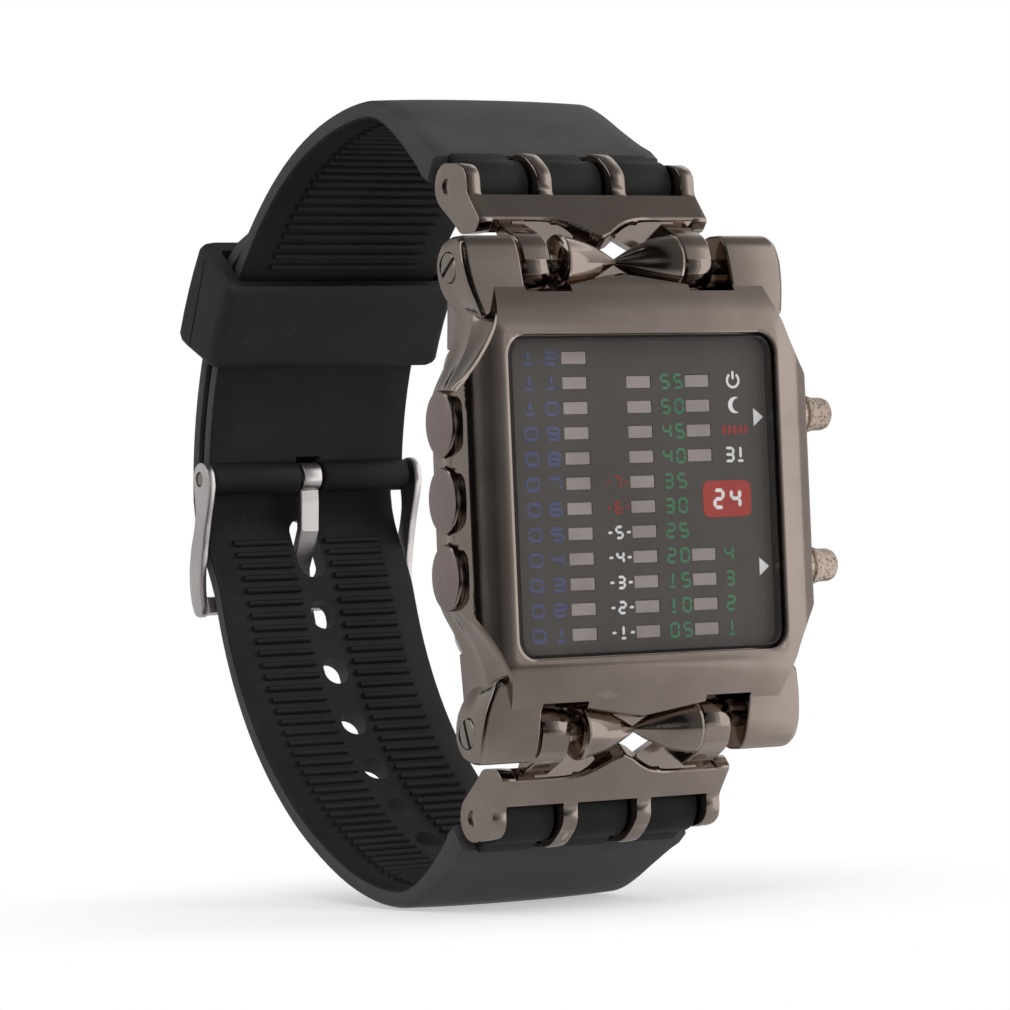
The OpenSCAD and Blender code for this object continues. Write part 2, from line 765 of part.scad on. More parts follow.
module link() {
    outer_x = link_w/2 - ear_t/2;
    difference() {
        union() {
            translate([0, pin_back + plate_top[0], pin_z + plate_top[1]]) rotate([plate_slope, 0, 0])
                translate([0, 0, -plate_t]) linear_extrude(height = plate_t) polygon(plate_plan);
            both_x() ear(outer_x, ear_t, ear_r);
            both_x() ear(inner_ear_x, inner_ear_t, inner_ear_r);
            both_x() gusset();
            both_x() slab(knuckle_x, knuckle_w) {
                translate([-hinge_h, hinge_z]) circle(r = knuckle_r);
                polygon([for (p = arm_outline) [p[0] - hinge_h, p[1] + hinge_z]]);
            }
        }
        rod_x(-link_w, link_w, pin_d/2 + seat_fit, pin_back, pin_z);
        rod_x(-link_w, link_w, screw_d/2 + run_fit, -hinge_h, hinge_z);
    }
}

module upper_link() {
    color("gray") link();
}

module lower_link() {
    color("gray") mirror([0, 0, 1]) link();
}

module strap_pin() {
    color("silver") rod_x(-link_w/2 + 0.25, link_w/2 - 0.25, pin_d/2, pin_back, pin_z);
}

module upper_strap_pin() {
    strap_pin();
}

module lower_strap_pin() {
    mirror([0, 0, 1]) strap_pin();
}

// Strap
// Plan seen from 12 o'clock: wide at the shoulders and narrow at the buckle
far = loop_back + loop_r + 10;
half_plan = concat([[shoulder_w/2, -4], [shoulder_w/2, pin_back + 0.8]],
    curve([shoulder_w/2, pin_back + 2], [shoulder_w/2 - 0.6, pin_back + 4.4],
        [strap_w/2 + 0.1, pin_back + 5], [strap_w/2, pin_back + 9], 4),
    [[strap_w/2, loop_back], [tail_w/2, loop_back + 24], [tail_w/2, far]]);

module strap_plan() {
    linear_extrude(height = 4*loop_r, center = true) polygon(concat(half_plan, reversed(flip_x(half_plan))));
}

// The run from the pin to the loop, up for s = 1 and down for s = -1, at centre radius r
body_start = inner_ear_r + 0.35;
function run_middle(s, r) = let (u = [cos(strap_slope), s*sin(strap_slope)],
    a = [pin_back, s*pin_z] + body_start*u,
    d = [loop_back, loop_up + s*r])
    curve(a, a + 7.5*u, d - [4, 0], d, 8);
function unit(v) = v/norm(v);
function run_side(s, r, out) = let (m = run_middle(s, r), n = len(m) - 1)
    [for (i = [0 : n]) let (d = unit(m[min(i + 1, n)] - m[max(i - 1, 0)]), f = 1 - i/n,
        half = (strap_t + (shoulder_t - strap_t)*f*f)/2)
        m[i] + out*half*[-s*d[1], s*d[0]]];

module strap_knuckles(s) {
    u = [cos(strap_slope), s*sin(strap_slope)];
    v = [-u[1], u[0]];
    inner = inner_ear_x - inner_ear_t/2 - side_gap;
    from = inner_ear_x + inner_ear_t/2 + side_gap;
    to = link_w/2 - ear_t - side_gap;
    c = [pin_back, s*pin_z];
    half = shoulder_t/2;
    reach = body_start + 0.5;
    for (k = [[0, 2*inner], [(from + to)/2, to - from], [-(from + to)/2, to - from]])
        slab(k[0], k[1]) {
            translate(c) circle(r = strap_knuckle_r);
            polygon([c + half*v, c + half*v + reach*u, c - half*v + reach*u, c - half*v]);
        }
}

module loop_slot(a, l) {
    translate([0, loop_back, loop_up]) rotate([a, 0, 0]) translate([0, long_r, 0]) rotate([-90, 0, 0])
        translate([0, 0, -2*strap_t]) linear_extrude(height = 5*strap_t) {
            square([hole_w, l - hole_w], center = true);
            for (s = [-1, 1]) translate([0, s*(l - hole_w)/2]) circle(r = hole_w/2);
        }
}

// The short strap ends in an eye around the spring bar, open in the middle for the tongue
spring_bar_at = on_loop(bar_r, bar_angle);
short_end = bar_angle + 1;

module upper_strap() {
    middle_r = loop_r + strap_t/2;
    outer = concat(run_side(1, middle_r, 1), [for (a = [90 - step : -step : short_end + step]) on_loop(loop_r + strap_t, a)],
        [on_loop(loop_r + strap_t, short_end)]);
    inner = concat(run_side(1, middle_r, -1), [for (a = [90 - step : -step : short_end + step]) on_loop(loop_r, a)],
        [on_loop(loop_r, short_end)]);
    color("#2b2a2a") difference() {
        union() {
            intersection() {
                slab(0, 2*shoulder_w) polygon(concat(outer, reversed(inner)));
                strap_plan();
            }
            strap_knuckles(1);
            slab(0, tail_w) translate(spring_bar_at) circle(r = eye_r);
        }
        rod_x(-link_w, link_w, pin_d/2 + run_fit, pin_back, pin_z);
        rod_x(-tail_w, tail_w, bar_d/2 + run_fit, spring_bar_at[0], spring_bar_at[1]);
        slab(0, 2*slot_x) translate(spring_bar_at) circle(r = eye_r + 0.5);
    }
}

// Radius of the long strap's inner face at angle a
function long_in(a) = a < 0.5*(rise_from + leave_angle)
    ? loop_r + (long_r - loop_r)*ease((a + 90)/(90 + rise_from))
    : long_r + (lap_r - long_r)*ease((a - leave_angle)/(lap_angle - leave_angle));

held_at = -5.5;

module lower_strap() {
    angles = [for (a = [-90 + step : step : tip_angle - 1]) a];
    outer = concat(run_side(-1, loop_r + strap_t/2, 1), [for (a = angles) on_loop(long_in(a) + strap_t, a)],
        [on_loop(lap_r + strap_t, tip_angle)]);
    inner = concat(run_side(-1, loop_r + strap_t/2, -1), [for (a = angles) on_loop(long_in(a), a)],
        [on_loop(lap_r, tip_angle)]);
    color("#2b2a2a") difference() {
        union() {
            intersection() {
                slab(0, 2*shoulder_w) polygon(concat(outer, reversed(inner)));
                strap_plan();
            }
            strap_knuckles(-1);
        }
        rod_x(-link_w, link_w, pin_d/2 + run_fit, pin_back, -pin_z);
        loop_slot(held_at, held_hole_l);
        for (i = [1 : hole_count - 1])
            loop_slot(held_at - (i*hole_pitch + 1)/(loop_r*PI/180), hole_l);
    }
}

// The keeper is a bent band around both layers, with bevelled outer corners
module ring_part(r0, r1, a0, a1, w) {
    slab(0, w) polygon(concat([for (i = [0 : 6]) on_loop(r1, a0 + (a1 - a0)*i/6)],
        [for (i = [6 : -1 : 0]) on_loop(r0, a0 + (a1 - a0)*i/6)]));
}

module keeper() {
    w = tail_w + 2*keeper_gap;
    color("#2b2a2a") difference() {
        ring_part(keeper_in - keeper_t, keeper_out + keeper_outer_t, keeper_angle, keeper_end, w + 2*keeper_t);
        ring_part(keeper_in, keeper_out, keeper_angle - 3, keeper_end + 3, w);
    }
}

// Buckle
cross_at = on_loop(cross_in + cross_t/2, cross_angle);
// Side view of an arm, as offsets from the spring bar
arm_front = [[1.3, -1.5], [1.4, -3.4], [1.8, -6.3], [2.5, -8.6], [2.3, -10.2]];
arm_back = [[-2.3, -1.6], [-1.7, -3.2], [-0.6, -5.2], [-0.2, -7.7], [0.3, -10.2]];

module buckle_arm(x) {
    slab(x, arm_t) {
        translate(spring_bar_at) circle(r = arm_r);
        polygon(concat([spring_bar_at + [-arm_r, 0.2], spring_bar_at + [arm_r*0.9, 0.4]],
            [for (p = arm_front) spring_bar_at + p], [on_loop(cross_in + cross_t, cross_angle - 1.1)],
            [on_loop(cross_in - 2.6, cross_angle - 1.6)], reversed([for (p = arm_back) spring_bar_at + p])));
    }
}

module buckle_frame() {
    half = cross_l/2/(long_r*PI/180);
    color("silver") difference() {
        union() {
            for (s = [-1, 1]) buckle_arm(s*(buckle_w/2 - arm_t/2));
            ring_part(cross_in, cross_in + cross_t, cross_angle - half, cross_angle + half, buckle_w - arm_t/2);
        }
        rod_x(-buckle_w, buckle_w, bar_d/2 + seat_fit, spring_bar_at[0], spring_bar_at[1]);
    }
}

// The tongue leaves the bar inside the long strap, passes its hole and rests on the crossbar
tongue_path = [spring_bar_at, on_loop(bar_r - 0.1, bar_angle - 4), on_loop(bar_r + 0.2, -2.6),
    on_loop(long_r + strap_t + 1.75, -8.2), on_loop(cross_in + cross_t + tongue_t/2 + 0.06, cross_angle + 1),
    on_loop(cross_in + cross_t + tongue_t/2 + 0.02, cross_angle - 3.4)];

module buckle_tongue() {
    p = tongue_path;
    color("silver") difference() {
        union() {
            for (i = [0 : len(p) - 2]) {
                d = unit(p[i + 1] - p[i])*tongue_t/2;
                n = [-d[1], d[0]];
                slab(0, tongue_w) polygon([p[i] + n, p[i + 1] + n, p[i + 1] - n, p[i] - n]);
                slab(0, tongue_w) translate(p[i + 1]) circle(r = tongue_t/2);
            }
            slab(0, tongue_w) translate(p[0]) circle(r = eye_r - 0.2);
        }
        rod_x(-tongue_w, tongue_w, bar_d/2 + run_fit, p[0][0], p[0][1]);
    }
}

module buckle_spring_bar() {
    color("silver") {
        rod_x(-arm_in + 0.1, arm_in - 0.1, bar_d/2, spring_bar_at[0], spring_bar_at[1]);
        rod_x(-buckle_w/2 + 0.1, buckle_w/2 - 0.1, bar_d/2 - 0.1, spring_bar_at[0], spring_bar_at[1]);
    }
}

case_shell();
crystal();
crystal_gasket();
dial_plate();
led_bars();
circuit_board();
board_components();
module_holder();
battery();
battery_contact();
battery_clamp();
case_back();
case_back_gasket();
back_screws();
side_studs();
upper_pusher();
lower_pusher();
upper_pusher_spring();
lower_pusher_spring();
pusher_seals();
upper_pusher_clip();
lower_pusher_clip();
hinge_screws();
upper_link();
lower_link();
upper_strap_pin();
lower_strap_pin();
upper_strap();
lower_strap();
keeper();
buckle_frame();
buckle_tongue();
buckle_spring_bar();
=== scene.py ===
# %% [markdown]
# LED watch.
# A square metal watch with a smoked window over light bars, hinged end links and a rubber strap.
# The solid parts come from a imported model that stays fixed; this file dresses them.
# Lengths are written in millimetres and turned into metres where a mesh is made.

import math

import bmesh
import bpy
import numpy as np
from mathutils import Matrix, Vector


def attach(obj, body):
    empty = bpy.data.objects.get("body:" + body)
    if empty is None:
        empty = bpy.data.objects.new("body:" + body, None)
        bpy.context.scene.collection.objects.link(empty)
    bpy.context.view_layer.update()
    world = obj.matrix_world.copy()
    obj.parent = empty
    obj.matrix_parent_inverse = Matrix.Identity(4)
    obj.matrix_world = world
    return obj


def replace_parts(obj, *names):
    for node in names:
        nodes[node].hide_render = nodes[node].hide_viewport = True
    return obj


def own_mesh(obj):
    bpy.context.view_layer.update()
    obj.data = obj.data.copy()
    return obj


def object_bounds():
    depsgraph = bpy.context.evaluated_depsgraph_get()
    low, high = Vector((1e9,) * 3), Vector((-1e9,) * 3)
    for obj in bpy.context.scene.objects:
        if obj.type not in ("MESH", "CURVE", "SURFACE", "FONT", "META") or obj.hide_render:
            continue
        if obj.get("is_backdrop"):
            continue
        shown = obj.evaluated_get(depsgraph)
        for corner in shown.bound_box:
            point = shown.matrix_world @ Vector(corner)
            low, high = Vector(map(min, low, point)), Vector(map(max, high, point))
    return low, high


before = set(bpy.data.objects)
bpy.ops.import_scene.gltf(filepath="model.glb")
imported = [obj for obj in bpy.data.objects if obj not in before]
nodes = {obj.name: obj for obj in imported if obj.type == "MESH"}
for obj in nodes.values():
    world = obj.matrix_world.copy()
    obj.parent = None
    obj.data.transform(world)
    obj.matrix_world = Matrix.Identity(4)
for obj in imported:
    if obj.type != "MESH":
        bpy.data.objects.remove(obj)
cad_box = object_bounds()
scene = bpy.context.scene
MM = 0.001
print("solid pieces:", len(nodes))

# %% [markdown]
# The photograph was taken from a little to the left and almost level with the watch.
# A long lens keeps the square case square, so the camera stands far away with a narrow view.
# Its place follows from the corners of the window, the screws and the pins.

# %% Camera
turn, tilt, roll = (math.radians(a) for a in (-30.5, -0.91, 2.35))
distance = 454.67*MM
target = Vector((-8.27, 0, -0.40))*MM
picture_size = 1010
lens_in_pixels = 4729.1

back = Vector((math.sin(turn)*math.cos(tilt), -math.cos(turn)*math.cos(tilt), math.sin(tilt)))
level = Vector((math.cos(turn), math.sin(turn), 0))
upright = back.cross(level)
right = level*math.cos(roll) - upright*math.sin(roll)
up = level*math.sin(roll) + upright*math.cos(roll)

camera_data = bpy.data.cameras.new("camera")
camera_data.sensor_width = 36
camera_data.lens = camera_data.sensor_width*lens_in_pixels/picture_size
camera_data.clip_start = 0.02
camera_data.clip_end = 20
camera = bpy.data.objects.new("camera", camera_data)
scene.collection.objects.link(camera)
turned = Matrix((right, up, back)).transposed().to_4x4()
camera.matrix_world = Matrix.Translation(target + back*distance) @ turned
scene.camera = camera
scene.view_settings.view_transform = "Standard"
print("lens (mm):", round(camera_data.lens, 1))

# %% [markdown]
# Materials are node trees. Plain arithmetic on a node's output reads better than rows of Math nodes,
# so a small class lets an output be added, subtracted or multiplied like a number.

# %% Arithmetic on outputs
class Wire:
    """A node's output that takes part in plain arithmetic."""

    def __init__(self, tree, out):
        self.tree = tree
        self.out = out

    def math(self, operation, other):
        node = self.tree.nodes.new("ShaderNodeMath")
        node.operation = operation
        for socket, value in zip(node.inputs, (self, other)):
            connect(self.tree, socket, value)
        return Wire(self.tree, node.outputs[0])

    def __add__(self, other):
        return self.math("ADD", other)

    def __sub__(self, other):
        return self.math("SUBTRACT", other)

    def __mul__(self, other):
        return self.math("MULTIPLY", other)

    __radd__ = __add__
    __rmul__ = __mul__

    def between(self, low, high):
        """0 below low, 1 above high, and a soft step in between."""
        node = self.tree.nodes.new("ShaderNodeMapRange")
        node.interpolation_type = "SMOOTHSTEP"
        connect(self.tree, node.inputs["Value"], self)
        node.inputs["From Min"].default_value = low
        node.inputs["From Max"].default_value = high
        return Wire(self.tree, node.outputs["Result"])


def connect(tree, socket, value):
    """Links an output to a socket, or sets the socket's own value."""
    if isinstance(value, Wire):
        tree.links.new(value.out, socket)
    elif hasattr(socket.default_value, "__len__") and len(value) == 3 and len(socket.default_value) == 4:
        socket.default_value = (*value, 1)
    else:
        socket.default_value = value


# %% A material that is filled in
class Finish:
    """A material with one shader, whose sockets are set or textured by name."""

    def __init__(self, name, **plain):
        self.material = bpy.data.materials.new(name)
        self.material.use_nodes = True
        self.tree = self.material.node_tree
        self.shader = self.tree.nodes["Principled BSDF"]
        for socket, value in plain.items():
            self.set(socket.replace("_", " ").title().replace("Ior", "IOR"), value)
        self.place = self.node("ShaderNodeTexCoord", out="Object")

    def set(self, socket, value):
        connect(self.tree, self.shader.inputs[socket], value)

    def node(self, kind, settings=None, sockets=None, out=0):
        """Any other node: its type, its settings, then its sockets."""
        node = self.tree.nodes.new(kind)
        for name, value in (settings or {}).items():
            setattr(node, name, value)
        for name, value in (sockets or {}).items():
            connect(self.tree, node.inputs[name], value)
        return Wire(self.tree, node.outputs[out])

    def noise(self, size, detail, stretch=(1, 1, 1)):
        """Soft noise whose patches are about size millimetres across."""
        mapped = {"Vector": self.place, "Scale": stretch}
        place = self.node("ShaderNodeMapping", sockets=mapped, out="Vector")
        return self.node("ShaderNodeTexNoise",
            sockets={"Vector": place, "Scale": 1/(size*MM), "Detail": detail})

    def blend(self, one, other, share):
        """A colour between two colours."""
        node = self.tree.nodes.new("ShaderNodeMix")
        node.data_type = "RGBA"
        connect(self.tree, node.inputs[0], share)
        connect(self.tree, node.inputs[6], one)
        connect(self.tree, node.inputs[7], other)
        return Wire(self.tree, node.outputs[2])

    def bump(self, height, depth):
        """Pushes the shading in and out by a height; depth is in millimetres."""
        sockets = {"Height": height, "Distance": depth*MM}
        self.set("Normal", self.node("ShaderNodeBump", sockets=sockets))


# %% [markdown]
# The plating is dark polished nickel. A polished metal is never even: hands leave soft smudges that
# change the gloss more than the colour, and fine hairlines cross it. Noise at three sizes makes smudges,
# hairlines and grain. Pointiness finds the convex edges, which are painted lighter: partly wear of the
# plating, partly a painted highlight. The grainy caps of the pushers have small dark pits as well.

# %% Metals
def metal(name, dark, light, gloss, smudge=0.08, grain=0.002, wear_and_highlight=0.35, grain_size=0.12, pits=0.0):
    finish = Finish(name, metallic=1.0)
    cloud = finish.noise(4.5, 4)
    hairline = finish.noise(0.6, 2, (0.08, 1, 2.2)).between(0.60, 0.74)
    edge = finish.node("ShaderNodeNewGeometry", out="Pointiness").between(0.53, 0.62)
    colour = finish.blend(dark, light, cloud.between(0.3, 0.7))
    # Convex edges are painted lighter: partly edge wear, partly a painted highlight.
    worn_and_lit = [min(1.0, 1.35*c + 0.05) for c in light]
    colour = finish.blend(colour, worn_and_lit, edge*wear_and_highlight)
    if pits:
        pitted = finish.noise(0.30, 3).between(0.50, 0.66)
        colour = finish.blend(colour, [0.22*c for c in dark], pitted*pits)
    finish.set("Base Color", colour)
    finish.set("Roughness", gloss + (cloud - 0.5)*smudge + hairline*(0.5*smudge))
    finish.bump(finish.noise(grain_size, 2) + hairline*0.3, grain)
    return finish.material


gunmetal = metal("polished_gunmetal", (0.390, 0.322, 0.280), (0.430, 0.356, 0.312), 0.10,
    smudge=0.03, grain=0.0012)
# A lighter copy of the plating for the bow rims: a painted highlight.
highlight_gunmetal = metal("painted_highlight_gunmetal", (0.46, 0.39, 0.34), (0.52, 0.45, 0.40), 0.11, smudge=0.04)
satin_gunmetal = metal("satin_gunmetal", (0.375, 0.300, 0.290), (0.405, 0.325, 0.312), 0.20,
    smudge=0.04, grain=0.0015)
screw_steel = metal("screw_steel", (0.36, 0.31, 0.28), (0.42, 0.37, 0.33), 0.22, smudge=0.06, grain=0.003)
satin_steel = metal("satin_steel", (0.80, 0.745, 0.735), (0.92, 0.86, 0.85), 0.30,
    smudge=0.12, grain=0.006, wear_and_highlight=0.5, grain_size=0.2)
spring_brass = metal("spring_brass", (0.62, 0.45, 0.19), (0.70, 0.53, 0.25), 0.28)
cell_nickel = metal("cell_nickel", (0.56, 0.55, 0.53), (0.62, 0.61, 0.58), 0.26)
rough_nickel = metal("rough_nickel", (0.50, 0.40, 0.33), (0.64, 0.525, 0.44), 0.46,
    smudge=0.2, grain=0.05, wear_and_highlight=0.6, grain_size=0.24, pits=0.8)
print("metals made")

# %% [markdown]
# Moulded rubber is matt and slightly grey where dust and light catch its pores. The black plastics
# inside share the recipe with less grain. Printed ink is a thin flat colour with a faint screen texture.

# %% Rubber, plastics and inks
def moulded(name, dark, light, gloss, grain=0.012, grain_size=0.16, dust=0.0, shine=0.5):
    finish = Finish(name, specular_ior_level=shine)
    cloud = finish.noise(6, 4)
    pores = finish.noise(grain_size, 3)
    specks = finish.noise(0.35, 1).between(0.70, 0.78)
    colour = finish.blend(dark, light, cloud.between(0.3, 0.7))
    finish.set("Base Color", finish.blend(colour, (0.30, 0.29, 0.28), specks*dust))
    finish.set("Roughness", gloss + (cloud - 0.5)*0.12)
    finish.bump(pores, grain)
    return finish.material


rubber = moulded("matt_rubber", (0.038, 0.0355, 0.0357), (0.050, 0.0470, 0.0473), 0.52,
    grain=0.02, grain_size=0.14, dust=0.10, shine=0.4)
# A darker copy of the rubber for faces inside the loop, the knuckles and the ribs: painted shade.
painted_shade_rubber = moulded("painted_shade_rubber", (0.010, 0.010, 0.0095), (0.015, 0.0148, 0.014), 0.55,
    grain=0.02, grain_size=0.14, dust=0.05, shine=0.22)
keeper_rubber = moulded("keeper_rubber", (0.014, 0.0132, 0.0128), (0.018, 0.0172, 0.0166), 0.55,
    grain=0.02, grain_size=0.14, dust=0.08, shine=0.32)
seal_rubber = moulded("seal_rubber", (0.02, 0.02, 0.02), (0.03, 0.03, 0.03), 0.5)
smoked_plate = moulded("smoked_plate", (0.066, 0.056, 0.051), (0.076, 0.065, 0.059), 0.42,
    grain=0.004, grain_size=0.1)
bar_plastic = moulded("unlit_bar", (0.29, 0.245, 0.230), (0.35, 0.300, 0.282), 0.35,
    grain=0.004, grain_size=0.1)
board_green = moulded("board_green", (0.02, 0.12, 0.05), (0.03, 0.17, 0.07), 0.4)
chip_black = moulded("chip_black", (0.03, 0.03, 0.03), (0.05, 0.05, 0.05), 0.45)
holder_white = moulded("holder_white", (0.62, 0.60, 0.55), (0.70, 0.68, 0.62), 0.5)


def ink(name, colour):
    return moulded(name, [0.85*c for c in colour], colour, 0.45, grain=0.002, grain_size=0.08)


blue_ink = ink("blue_ink", (0.080, 0.094, 0.200))
green_ink = ink("green_ink", (0.060, 0.230, 0.105))
red_ink = ink("red_ink", (0.33, 0.036, 0.028))
badge_ink = ink("badge_ink", (0.42, 0.042, 0.030))
white_ink = ink("white_ink", (0.88, 0.87, 0.86))

# %% [markdown]
# The window is smoked mineral glass, polished on its face. Light has to reach the printed plate, so the
# glass is a thin dark veil (Alpha) with full gloss, and not a refracting block that takes long to render.

# %% Glass
def glass(name, colour, alpha):
    finish = Finish(name, base_color=colour, alpha=alpha, coat_weight=1.0)
    smear = finish.noise(7, 3)
    finish.set("Roughness", 0.03 + smear.between(0.45, 0.75)*0.05)
    return finish.material


smoked_glass = glass("smoked_glass", (0.035, 0.031, 0.029), alpha=0.10)
bevel_glass = glass("bevel_glass", (0.030, 0.028, 0.027), alpha=0.72)

# %% [markdown]
# Every piece is made from points and faces in millimetres. Three small tools cover most of them:
# one joins rings of points into a skin, one turns a profile round an axis, and one stretches a side view
# along the width of the watch. Their edges get a small round, because a machined edge always catches light.

# %% Make a piece
def fill(work, points, faces):
    """Adds points in millimetres, and the faces over them, to a bmesh."""
    verts = [work.verts.new(Vector(p)*MM) for p in points]
    for face in faces:
        work.faces.new([verts[i] for i in face])


def add_piece(name, points, faces, finish, body, slot, sharp=38, weighted=True):
    """A mesh object in its place, facing outwards, smooth up to the sharp angle in degrees."""
    work = bmesh.new()
    fill(work, points, faces)
    return piece_from(name, work, finish, body, sharp, weighted)


def piece_from(name, work, finish, body, sharp=38, weighted=True):
    bmesh.ops.remove_doubles(work, verts=work.verts, dist=1e-7)
    bmesh.ops.recalc_face_normals(work, faces=work.faces)
    mesh = bpy.data.meshes.new(name)
    work.to_mesh(mesh)
    work.free()
    piece = bpy.data.objects.new(name, mesh)
    scene.collection.objects.link(piece)
    mesh.materials.append(finish)
    smooth(piece, sharp, weighted)
    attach(piece, body)
    return piece


def smooth(piece, sharp=38, weighted=True):
    piece.data.shade_smooth()
    piece.data.set_sharp_from_angle(angle=math.radians(sharp))
    if weighted:
        piece.modifiers.new("flat_faces", "WEIGHTED_NORMAL").keep_sharp = True


# %% Join rings, turn profiles
def skin(rings, closed=False):
    """Points and faces of a skin over rings that all have the same number of points."""
    count = len(rings[0])
    points = [tuple(p) for ring in rings for p in ring]
    faces = []
    last = len(rings) if closed else len(rings) - 1
    for i in range(last):
        one, two = i*count, ((i + 1) % len(rings))*count
        for j in range(count):
            k = (j + 1) % count
            faces.append((one + j, one + k, two + k, two + j))
    if not closed:
        faces.append(tuple(range(count - 1, -1, -1)))
        faces.append(tuple(range((len(rings) - 1)*count, len(rings)*count)))
    return points, faces


def all_angles(steps):
    return [2*math.pi*i/steps for i in range(steps)]


def turned_rings(profile, y, z, steps=48):
    """Rings round an axis along X: the profile holds pairs of x and radius."""
    return [[(x, y + r*math.cos(a), z + r*math.sin(a)) for a in all_angles(steps)] for x, r in profile]


def join_parts(parts):
    """Several sets of points and faces as one."""
    points, faces = [], []
    for more_points, more_faces in parts:
        start = len(points)
        points += list(more_points)
        faces += [tuple(i + start for i in face) for face in more_faces]
    return points, faces


# %% Stretch a side view
def rounded_outline(outline, radius, steps=4):
    """An outline with an arc in place of each corner."""
    result = []
    count = len(outline)
    for i in range(count):
        before, corner, after = (np.array(outline[(i + k) % count], float) for k in (-1, 0, 1))
        one, two = before - corner, after - corner
        cut = min(radius, 0.45*np.linalg.norm(one), 0.45*np.linalg.norm(two))
        start = corner + one/np.linalg.norm(one)*cut
        end = corner + two/np.linalg.norm(two)*cut
        for k in range(steps + 1):
            t = k/steps
            result.append(tuple((1 - t)**2*start + 2*t*(1 - t)*corner + t*t*end))
    return result


def shrunk(outline, cut):
    """An outline moved inwards by a length. Its corners have to be round."""
    points = np.array(outline, float)
    ahead, behind = np.roll(points, -1, 0), np.roll(points, 1, 0)
    way_round = np.sign((points[:, 0]*ahead[:, 1] - points[:, 1]*ahead[:, 0]).sum())
    along = ahead - behind
    outwards = np.stack([along[:, 1], -along[:, 0]], 1)/np.linalg.norm(along, axis=1)[:, None]
    return [tuple(p) for p in points - way_round*cut*outwards]


def soft_steps(x0, x1, soften):
    """Pairs of x and a cut, which round both ends of a stretch."""
    return ((x0, soften), (x0 + 0.3*soften, 0.3*soften), (x0 + soften, 0.0),
        (x1 - soften, 0.0), (x1 - 0.3*soften, 0.3*soften), (x1, soften))


def soft_plate(outline, x0, x1, soften=0.2):
    """A side view stretched along X, with rounded edges."""
    return skin([[(x, y, z) for y, z in shrunk(outline, cut)] for x, cut in soft_steps(x0, x1, soften)])


# %% Cut shapes away
def cut_away(piece, cutter_parts):
    """Takes closed shapes out of a piece with a Boolean that is then made plain."""
    points, faces = join_parts(cutter_parts)
    mesh = bpy.data.meshes.new("cutter")
    mesh.from_pydata([Vector(p)*MM for p in points], [], faces)
    work = bmesh.new()
    work.from_mesh(mesh)
    bmesh.ops.recalc_face_normals(work, faces=work.faces)
    work.to_mesh(mesh)
    work.free()
    cutter = bpy.data.objects.new("cutter", mesh)
    scene.collection.objects.link(cutter)
    boolean = piece.modifiers.new("cut", "BOOLEAN")
    boolean.object = cutter
    boolean.solver = "EXACT"
    for modifier in piece.modifiers:
        modifier.show_viewport = modifier == boolean
    bpy.context.view_layer.update()
    depsgraph = bpy.context.evaluated_depsgraph_get()
    result = bpy.data.meshes.new_from_object(piece.evaluated_get(depsgraph))
    piece.modifiers.remove(boolean)
    piece.data = result
    for modifier in piece.modifiers:
        modifier.show_viewport = True
    bpy.data.objects.remove(cutter)
    smooth(piece, weighted=False)


def box_part(x, y, z):
    """A plain block between pairs of limits."""
    ring = [(y[0], z[0]), (y[1], z[0]), (y[1], z[1]), (y[0], z[1])]
    return skin([[(end, a, b) for a, b in ring] for end in x])


def rod_part(x, radius, y, z, steps=48):
    """A plain rod along X, between the two limits of x."""
    return skin(turned_rings([(x[0], radius), (x[1], radius)], y, z, steps))


# %% [markdown]
# The case front is one smooth plated surface: a flat lip round the window, a crown that falls to the
# flanks and to the two ends, a crisp crest, and hollow flanks with a crease half way down. A cube with
# bevels can't fall in two directions at once. So the skin is built from rings, from the inside wall of
# the window out over the crown and down the flanks, with each height taken from two curves.

# %% Curves of the case front
def curve(a, b, c, d, count):
    """Points of a curve that leaves a towards b and reaches d from c."""
    t = np.linspace(0, 1, count + 1)[:, None]
    a, b, c, d = (np.array(p, float) for p in (a, b, c, d))
    return (1 - t)**3*a + 3*(1 - t)**2*t*b + 3*(1 - t)*t*t*c + t**3*d


def follow(table, value):
    """What a table, given as pairs, says for a value."""
    return float(np.interp(value, *zip(*table)))


side_fall = np.vstack([curve((15.2, 13.0), (15.8, 13.0), (16.4, 12.93), (16.9, 12.82), 20)[:-1],
    curve((16.9, 12.82), (17.8, 12.62), (18.8, 12.4), (18.98, 11.9), 30)[:-1],
    curve((18.98, 11.9), (19.14, 11.28), (19.4, 10.5), (19.6, 9.5), 30)])
end_fall = curve((15.5, 13.0), (16.9, 13.0), (18.3, 12.0), (20.1, 10.9), 40)
end_fall = np.vstack([end_fall, [21.2, 10.1]])


def crown_height(x, z):
    """Height of the case front above the wrist: the lower of two falls, blended where they meet."""
    one = np.interp(abs(x), side_fall[:, 0], side_fall[:, 1])
    two = np.interp(abs(z), end_fall[:, 0], end_fall[:, 1])
    reach = 0.9*min(1.0, 13.0 - min(one, two))
    return min(one, two) - max(reach - abs(one - two), 0)**2/(4*reach + 1e-9)


# %% Plans of the case front, one quarter each
flank_half, end_z, peak_z, peak_from = 9.0, 20.1, 21.2, 6.5
flank_count, corner_count, end_count, peak_count = 6, 22, 10, 8


def front_quarter(flank_x, leave, arrive, tip_x):
    """A quarter of the case's plan, from 3 o'clock over the corner to 12 o'clock."""
    flank = [(flank_x, flank_half*i/flank_count) for i in range(flank_count)]
    corner = [tuple(p) for p in curve((flank_x, flank_half), leave, arrive, (tip_x, end_z), corner_count)]
    end = [(tip_x + (peak_from - tip_x)*i/end_count, end_z) for i in range(1, end_count + 1)]
    rise = [(peak_from*(1 - i/peak_count), end_z + (peak_z - end_z)*i/peak_count)
        for i in range(1, peak_count + 1)]
    return flank + corner + end + rise


